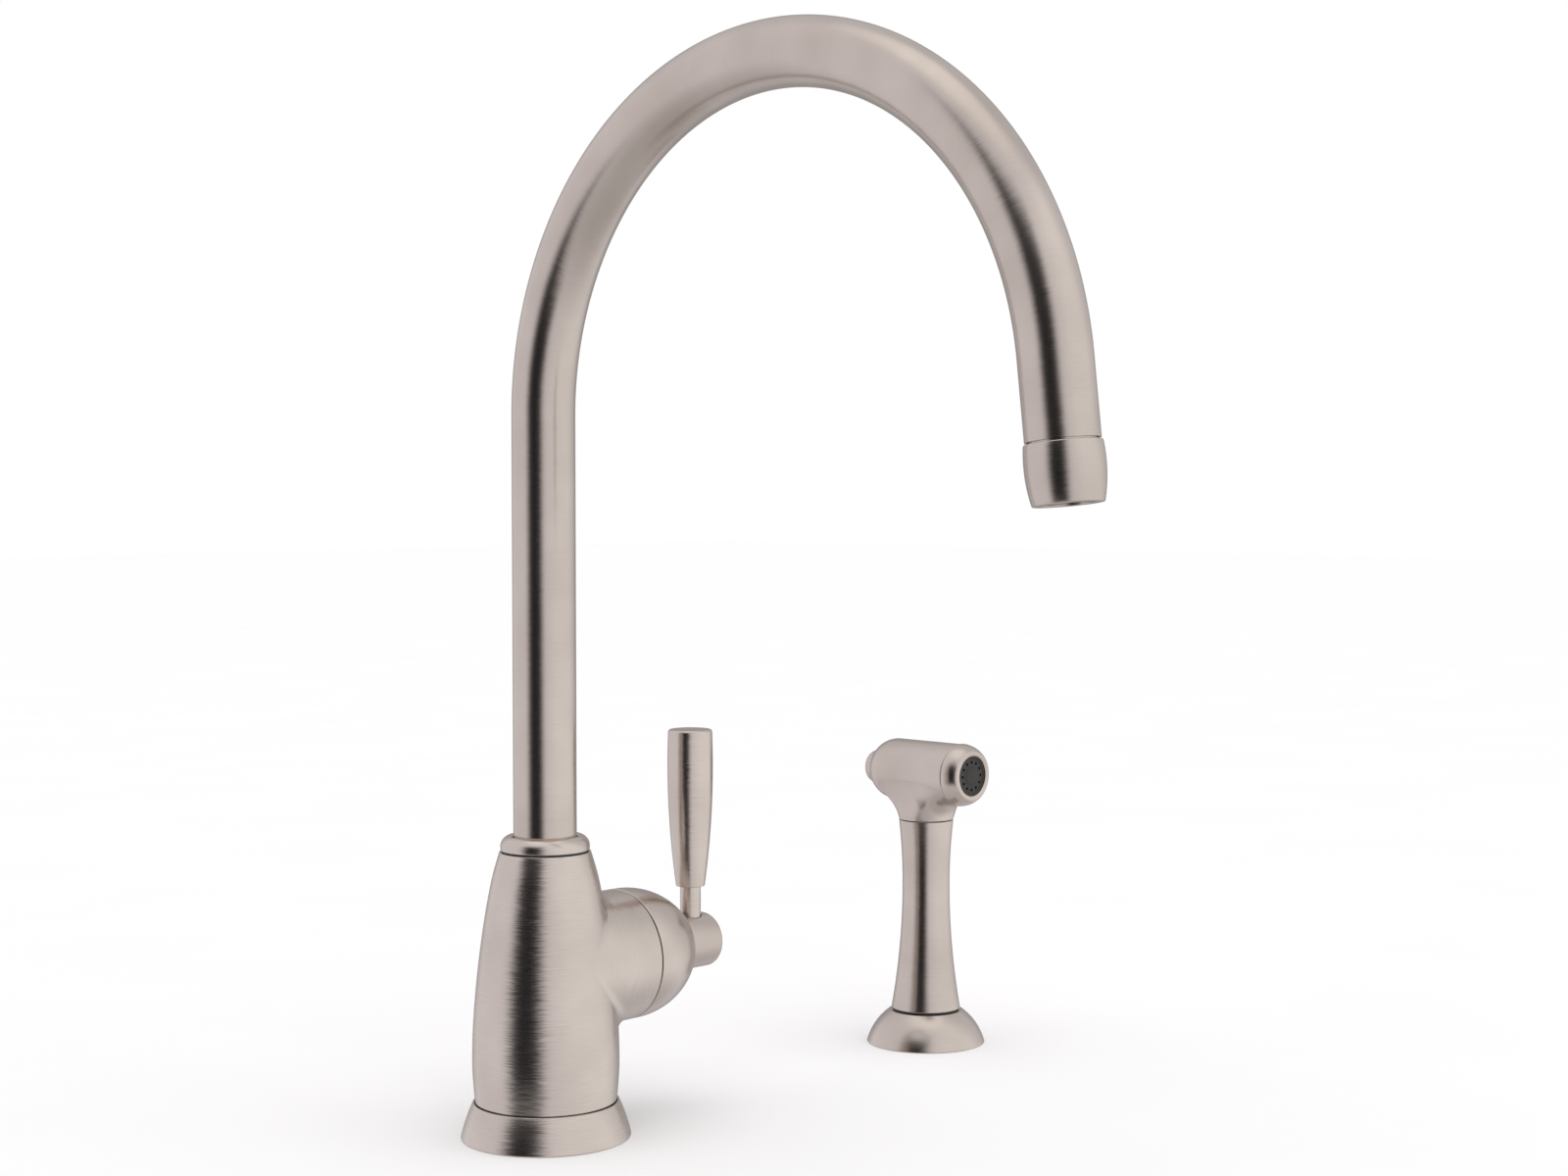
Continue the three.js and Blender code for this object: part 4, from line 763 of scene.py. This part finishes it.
grip_heights = [0.9 + 2 * step for step in range(29)]
grip_side = [(grip_radius(height), GRIP_FOOT + height) for height in grip_heights]
grip = turned("lever_grip_handle", rounded([
    (0, 124.5), (4.15, 124.5), (4.15, GRIP_FOOT), (grip_radius(0), GRIP_FOOT, 0.3), *grip_side,
    (grip_radius(58.3), GRIP_FOOT + 58.3, 1.0), (5, 138.62), (2.5, 138.76), (0, 138.8),
], 6), at=(ROD_X, 0, 0))
finished(grip, nickel_grip, "lever", "lever_grip")

# %% [markdown]
# ## Spray handle
# The handle is waisted: it flares to a wide foot that sits on the flange and a little less to its top. Two
# parabolas that meet at the waist give that line. Its tail and bore are turned in the same outline.

# %% The handle
HANDLE_FOOT = 14.1
HANDLE_TOP = 91.7
WAIST = 51.4
FOOT_RADIUS = 14.1
WAIST_RADIUS = 9.65
NECK_RADIUS = 11.15


def handle_radius(height):
    """The radius at a height over the handle's foot: a parabola on each side of the waist."""
    if height < WAIST:
        end, span = FOOT_RADIUS, WAIST
    else:
        end, span = NECK_RADIUS, HANDLE_TOP - HANDLE_FOOT - WAIST
    return WAIST_RADIUS + (end - WAIST_RADIUS) * ((height - WAIST) / span) ** 2


handle_heights = [0.9 + 75.8 * step / 36 for step in range(37)]
handle_side = [(handle_radius(height), HANDLE_FOOT + height) for height in handle_heights]
handle = turned("handset_handle", rounded([
    (7.5, 2.6), (9.9, 2.6, 0.4), (9.9, HANDLE_FOOT), (FOOT_RADIUS, HANDLE_FOOT, 0.35), *handle_side,
    (NECK_RADIUS, HANDLE_TOP, 0.25), (7.5, HANDLE_TOP),
]), at=SPRAY)
finished(handle, nickel_spray, "handset", "spray_handle")

# %% [markdown]
# ## Spray head
# The head is a barrel that lies across the handle, with a round rear end. Its neck runs out of the handle's
# flare and into the barrel in one long hollow curve. That is the rolling ball again. At each angle it is the
# largest ball that fits over the seam, and the neck leans out a little to meet it.

# %% The ball rolled round the neck
BARREL_RADIUS = 12.5
REAR_START = 15.0
REAR_ROUND = 11.0
NECK_FOOT = 92.0
NECK_EDGE = 0.25
NECK_STEPS = 14
FRONT_LIMIT = 17.7
LARGEST_BALL = 30.0


def halved(low, high, too_low):
    """The value between low and high where too_low changes, found by halving."""
    for _ in range(30):
        middle = (low + high) / 2
        low, high = (middle, high) if too_low(middle) else (low, middle)
    return middle


def neck_ball(angle):
    """Centre of the ball, where it touches the neck and where it touches the barrel, from the head's axis."""
    side, across = math.sin(angle), math.cos(angle)
    lean = math.radians(2 + (16 if side < 0 else 10) * math.sin(2 * angle) ** 2)
    foot = Vector((NECK_RADIUS, NECK_FOOT + NECK_EDGE - HEAD[2]))
    upward = Vector((math.sin(lean), math.cos(lean)))
    outward = Vector((math.cos(lean), -math.sin(lean)))

    def clear(ball, climb):
        """Whether the ball lies clear of the barrel when it touches the neck this far up."""
        out, up = foot + upward * climb + outward * ball
        past = max(0.0, out * side - REAR_START)
        reach = BARREL_RADIUS - REAR_ROUND + math.sqrt((REAR_ROUND + ball) ** 2 - past ** 2)
        return math.hypot(out * across, up) > reach

    fitting = halved(3.0, 60.0, lambda size: clear(size, 0.3))
    climb = 0.0
    for _ in range(4):
        front = (FRONT_LIMIT / max(-side, 0.2) - NECK_RADIUS - climb * math.sin(lean)) / math.cos(lean)
        ball = (fitting ** -8 + front ** -8 + LARGEST_BALL ** -8) ** (-1 / 8)
        climb = halved(0.0, 15.0, lambda height: clear(ball, height))
    out, up = foot + upward * climb + outward * ball
    centre = Vector((out * across, out * side, up))
    on_neck = foot + upward * climb
    on_neck = Vector((on_neck.x * across, on_neck.x * side, on_neck.y))
    away = Vector((centre.x, 0, centre.z)).normalized()
    core = away * (BARREL_RADIUS - REAR_ROUND) + Vector((0, min(centre.y, REAR_START), 0))
    return centre, on_neck, core + (centre - core).normalized() * REAR_ROUND


def neck_ring(share):
    def place(angle):
        centre, on_neck, on_barrel = neck_ball(angle)
        return between(centre, on_neck, on_barrel, share) + Vector(HEAD)
    return place


def round_ring(radius, height):
    return lambda angle: Vector((HEAD[0] + radius * math.cos(angle), radius * math.sin(angle), height))


def neck_foot_ring(share):
    """From the neck's foot up to where the ball touches it."""
    def place(angle):
        foot = round_ring(NECK_RADIUS, NECK_FOOT + NECK_EDGE)(angle)
        return foot.lerp(neck_ball(angle)[1] + Vector(HEAD), share)
    return place


def neck_sunk_ring(angle):
    """Inside the barrel's wall, where the neck's outside ends out of sight."""
    centre, _, on_barrel = neck_ball(angle)
    return on_barrel + (on_barrel - centre).normalized() * 1.5 + Vector(HEAD)


neck_rings = [round_ring(5, 101.4), round_ring(5, 80.2), round_ring(7.2, 80.2), round_ring(7.2, NECK_FOOT)]
neck_edge = rounded([(9, NECK_FOOT), (NECK_RADIUS, NECK_FOOT, NECK_EDGE), (NECK_RADIUS, 93)])[1:-1]
neck_rings += [round_ring(radius, height) for radius, height in neck_edge]
neck_rings += [neck_foot_ring(share) for share in (0.33, 0.67)]
neck_rings += [neck_ring(step / NECK_STEPS) for step in range(NECK_STEPS + 1)]
neck_rings.append(neck_sunk_ring)
neck = skinned("neck", neck_rings, 144)
print("the neck's curve starts at z", round(neck_ball(math.pi / 4)[1].z + HEAD[2], 1))

# %% The barrel
nickel_neck = brushed_nickel("Nickel of the spray head's neck", centre=SPRAY, depth=0.4)
barrel_side = arc((BARREL_RADIUS - REAR_ROUND, REAR_START), REAR_ROUND, 0, 58.5, 14)
spray_barrel = turned("handset_head", rounded([
    (8.6, -20.9), (10.3, -20.9), (10.3, -17.9), (BARREL_RADIUS, -17.9, 0.3), (BARREL_RADIUS, -5),
    *barrel_side, (7.1, 24.5, 0.25), (7.1, 16), (8.6, 16),
]), "Y", HEAD)
spray_barrel.data.materials.append(nickel_head)
neck.data.materials.append(nickel_neck)
choose(neck)
spray_barrel.select_set(True)
bpy.context.view_layer.objects.active = spray_barrel
bpy.ops.object.join()
finished(spray_barrel, nickel_head, "handset", "spray_head")

# %% [markdown]
# ## Nozzle
# A heavily rounded ring closes the barrel's front and holds the spray face: a black plate with a shallow
# dish and a ring of twelve jets. The jets are bored with copies of one bar.

# %% Nozzle ring
nozzle_side = curve_through([
    (12.7, -18.6), (12.62, -19.4), (12.32, -20.8), (11.86, -22.2), (11.25, -23.4), (10.6, -24.3),
    (9.95, -24.85), (9.3, -25.05), (8.65, -24.9),
])
nozzle = turned("nozzle_round", rounded([
    (10.6, -18.2), (12.7, -18.2, 0.3), *nozzle_side, (8.1, -24.6, 0.15), (8.1, -23.6), (10.6, -23.6),
]), "Y", HEAD)
finished(nozzle, nickel_head, "handset", "nozzle_ring")

# %% Spray face
face = turned("jet_plate", rounded([
    (0, -22.1), (10.3, -22.1), (10.3, -23.5), (8.05, -23.5), (8.05, -24.3, 0.2), (7.2, -24.3, 0.15),
    (7.0, -24.0, 0.1), (3.7, -24.0, 0.1), (3.5, -24.2, 0.1), (0, -24.2),
]), "Y", HEAD)
JETS = 12
JET_CIRCLE = 5.6
JET_RADIUS = 0.6
jets = []
for step in range(JETS):
    angle = 2 * math.pi * step / JETS
    middle = (HEAD[0] + JET_CIRCLE * math.cos(angle), -26, HEAD[2] + JET_CIRCLE * math.sin(angle))
    jets.append(bar(JET_RADIUS, 5, "Y", middle, sides=16))
drilled(face, *jets)
jet_black = grained(
    "Black plastic of the spray face", (0.012, 0.0095, 0.007), (0.022, 0.018, 0.0145), 0.42, 0.4, 0.02
)
finished(face, jet_black, "handset", "spray_face", slot="black_plastic")

# %% [markdown]
# ## Button
# A round button in the barrel's rear end opens the spray. Its end is a low dome.

# %% The button
BUTTON_RADIUS = 6.8
BUTTON_SIDE = 26.6
BUTTON_RISE = 3.7
button_end = []
for step in range(16):
    angle = math.pi / 2 * step / 16
    button_end.append((BUTTON_RADIUS * math.cos(angle), BUTTON_SIDE + BUTTON_RISE * math.sin(angle)))
button = turned("spray_button_cap", rounded([
    (0, 17.3), (1.8, 17.3), (1.8, 13), (8.15, 13), (8.15, 15.7), (BUTTON_RADIUS, 15.7), *button_end,
    (0, BUTTON_SIDE + BUTTON_RISE),
]), "Y", HEAD, sides=96)
finished(button, nickel_head, "trigger", "spray_button")

# %% [markdown]
# ## Springs
# Two coil springs work out of sight: one pushes the button out, the other holds the diverter's poppet down.
# A stiff spring would poke through what presses on it, so both are made again here, and each grows shorter
# Both are made again here, and each gets a mesh of its own. A small disc is extruded up and turned round
# the axis, one step at a time. The Screw modifier would give only even coils, but the end coils of a real
# spring lie flat on their seats.

# %% Coils
WIRE_SIDES = 12
COILS = 6
COIL_STEPS = 20
FLAT_STEPS = 15


def coiled(name, radius, wire, foot, length, axis="Z", at=(0, 0, 0)):
    """A spring that stands on a height along its axis, with a wire of this radius."""
    bpy.ops.object.select_all(action="DESELECT")
    bpy.ops.mesh.primitive_circle_add(
        vertices=WIRE_SIDES, radius=wire * MM, fill_type="NGON",
        location=(radius * MM, 0, (foot + wire) * MM), rotation=(math.pi / 2, 0, 0),
    )
    piece = bpy.context.object
    piece.name = piece.data.name = name
    bpy.ops.object.transform_apply(location=True, rotation=True, scale=True)
    steps = COILS * COIL_STEPS
    flat_rise = 2.04 * wire / COIL_STEPS
    steep_rise = (length - 2 * wire - 2 * FLAT_STEPS * flat_rise) / (steps - 2 * FLAT_STEPS)
    bpy.ops.object.mode_set(mode="EDIT")
    bpy.ops.mesh.select_all(action="SELECT")
    for step in range(steps):
        rise = flat_rise if min(step, steps - 1 - step) < FLAT_STEPS else steep_rise
        bpy.ops.mesh.extrude_region_move(TRANSFORM_OT_translate={"value": (0, 0, rise * MM)})
        bpy.ops.transform.rotate(value=2 * math.pi / COIL_STEPS, orient_axis="Z", center_override=(0, 0, 0))
    bpy.ops.mesh.select_all(action="SELECT")
    bpy.ops.mesh.normals_make_consistent(inside=False)
    bpy.ops.object.mode_set(mode="OBJECT")
    placed(piece, AXES[axis], at)
    return smooth(piece)


# %% The two springs
VALVE_SEAT = -5.95
BUTTON_SPRING = 18.85
button_coil = coiled("button_coil", 4.6, 0.55, VALVE_SEAT, BUTTON_SPRING, "Y", HEAD)
finished(button_coil, finishes["steel"], "handset", "button_spring", slot="steel")
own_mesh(button_coil)

POPPET_TOP = 86.8
POPPET_SPRING = 15.5
poppet_coil = coiled("poppet_coil", 3.6, 0.45, POPPET_TOP, POPPET_SPRING)
finished(poppet_coil, finishes["steel"], "spout", "diverter_spring", slot="steel")
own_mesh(poppet_coil)

# %% [markdown]
# ## Floor and light
# Brushed metal is seen by what it reflects, so the room is the finish's other half. The object stands in an
# even room with one tall, narrow, dark card to the camera's left. Every upright cylinder shows that card as
# its dark, soft-edged band. The wall to the camera's right is warmer and brighter than the rest, the wall
# behind the object is dimmer, so that every outline ends a little darker, and a glow overhead lights the
# tops. Real cards and lamps would do it, but a sky painted by direction is even and quick. The camera
# itself sees plain white. The floor isn't seen in the metal, so the band runs down to the deck.

# %% The floor
bpy.ops.object.select_all(action="DESELECT")
bpy.ops.mesh.primitive_plane_add(size=12)
floor = bpy.context.object
floor.name = floor.data.name = "studio_floor"
paper, tree, surface = new_material("Pale paper", Roughness=0.9)
place = add(tree, "TexCoord").outputs["Object"]
fibres = add(tree, "TexNoise", {"Vector": place, "Scale": 9.0, "Detail": 3.0})
paper_tone = mixed_colour(tree, fibres.outputs["Fac"], (0.90, 0.895, 0.89), (0.93, 0.93, 0.925))
feed(tree, surface.inputs["Base Color"], paper_tone)
floor.data.materials.append(paper)
floor.visible_glossy = False
print("floor", tuple(round(side, 1) for side in floor.dimensions))

# %% The dark card
CARD_AT = -163.5
CARD_SIDES = (15, 38)
CARD_TOP = (0.50, 0.80)
CARD_BOTTOM = (-0.62, -0.38)
room = bpy.data.worlds.new("Studio")
room.use_nodes = True
bpy.context.scene.world = room
tree = room.node_tree
tree.nodes.clear()
direction = add(tree, "TexCoord").outputs["Generated"]
toward = add(tree, "SeparateXYZ", {"Vector": direction})


def fade(value, start, end, low, high):
    """A soft change from low to high while value goes from start to end."""
    return mapped(tree, value, start, end, low, high, interpolation_type="SMOOTHSTEP")


around = calculate(tree, "ARCTAN2", toward.outputs["Y"], toward.outputs["X"])
turned_away = calculate(tree, "SUBTRACT", around, math.radians(CARD_AT))
off_card = calculate(tree, "ABSOLUTE", calculate(tree, "WRAP", turned_away, math.pi, -math.pi))
beside = fade(off_card, *map(math.radians, CARD_SIDES), 0.0, 1.0)
above = fade(toward.outputs["Z"], *CARD_TOP, 0.0, 1.0)
below = fade(toward.outputs["Z"], *CARD_BOTTOM, 1.0, 0.0)
clear = calculate(tree, "MAXIMUM", beside, calculate(tree, "MAXIMUM", above, below))
print("the card stands at", CARD_AT, "degrees")

# %% The walls
def near(around, tilt, wide, narrow):
    """How near a direction is to a place in the room: none at wide degrees from it, full within narrow."""
    around, tilt = math.radians(around), math.radians(tilt)
    place = (math.cos(around) * math.cos(tilt), math.sin(around) * math.cos(tilt), math.sin(tilt))
    cosine = vectors(tree, "DOT_PRODUCT", direction, place, output="Value")
    return fade(cosine, math.cos(math.radians(wide)), math.cos(math.radians(narrow)), 0.0, 1.0)


PLAIN_WALL = (0.86, 0.845, 0.875)
CARD_BLACK = (0.01, 0.01, 0.012)
PAINTED = {
    "bright wall to the camera's right": (near(-55, 10, 75, 25), (1.0, 1.0, 1.0)),
    "dim wall behind the object": (near(25, 30, 65, 15), (0.69, 0.68, 0.70)),
    "dim floor": (fade(toward.outputs["Z"], -0.95, -0.3, 1.0, 0.0), (0.60, 0.585, 0.59)),
    "glow overhead": (near(0, 90, 32, 10), (1.14, 1.12, 1.1)),
    "dark patch right behind the object": (near(44, -2, 48, 10), (0.40, 0.385, 0.385)),
}
walls = PLAIN_WALL
for share, colour in PAINTED.values():
    walls = mixed_colour(tree, share, walls, colour)
lit = mixed_colour(tree, clear, CARD_BLACK, walls)
shown = mixed_colour(tree, add(tree, "LightPath").outputs["Is Camera Ray"], lit, (1, 1, 1))
glow = add(tree, "Background", {"Color": shown, "Strength": 1.0})
feed(tree, add(tree, "OutputWorld").inputs["Surface"], glow.outputs["Background"])
print("painted on the walls:", list(PAINTED))

# %% The lamp overhead
bpy.ops.object.select_all(action="DESELECT")
bpy.ops.object.light_add(type="SUN", rotation=(math.radians(12), math.radians(-8), 0))
lamp = bpy.context.object
lamp.data.energy = 1.0
lamp.data.angle = math.radians(70)
lamp.visible_glossy = False
bpy.context.scene.view_settings.view_transform = "Standard"
print("lamp", lamp.data.energy)

# %% [markdown]
# ## Last update
# The view layer is brought up to date once more.

# %% Update the view layer
bpy.context.view_layer.update()
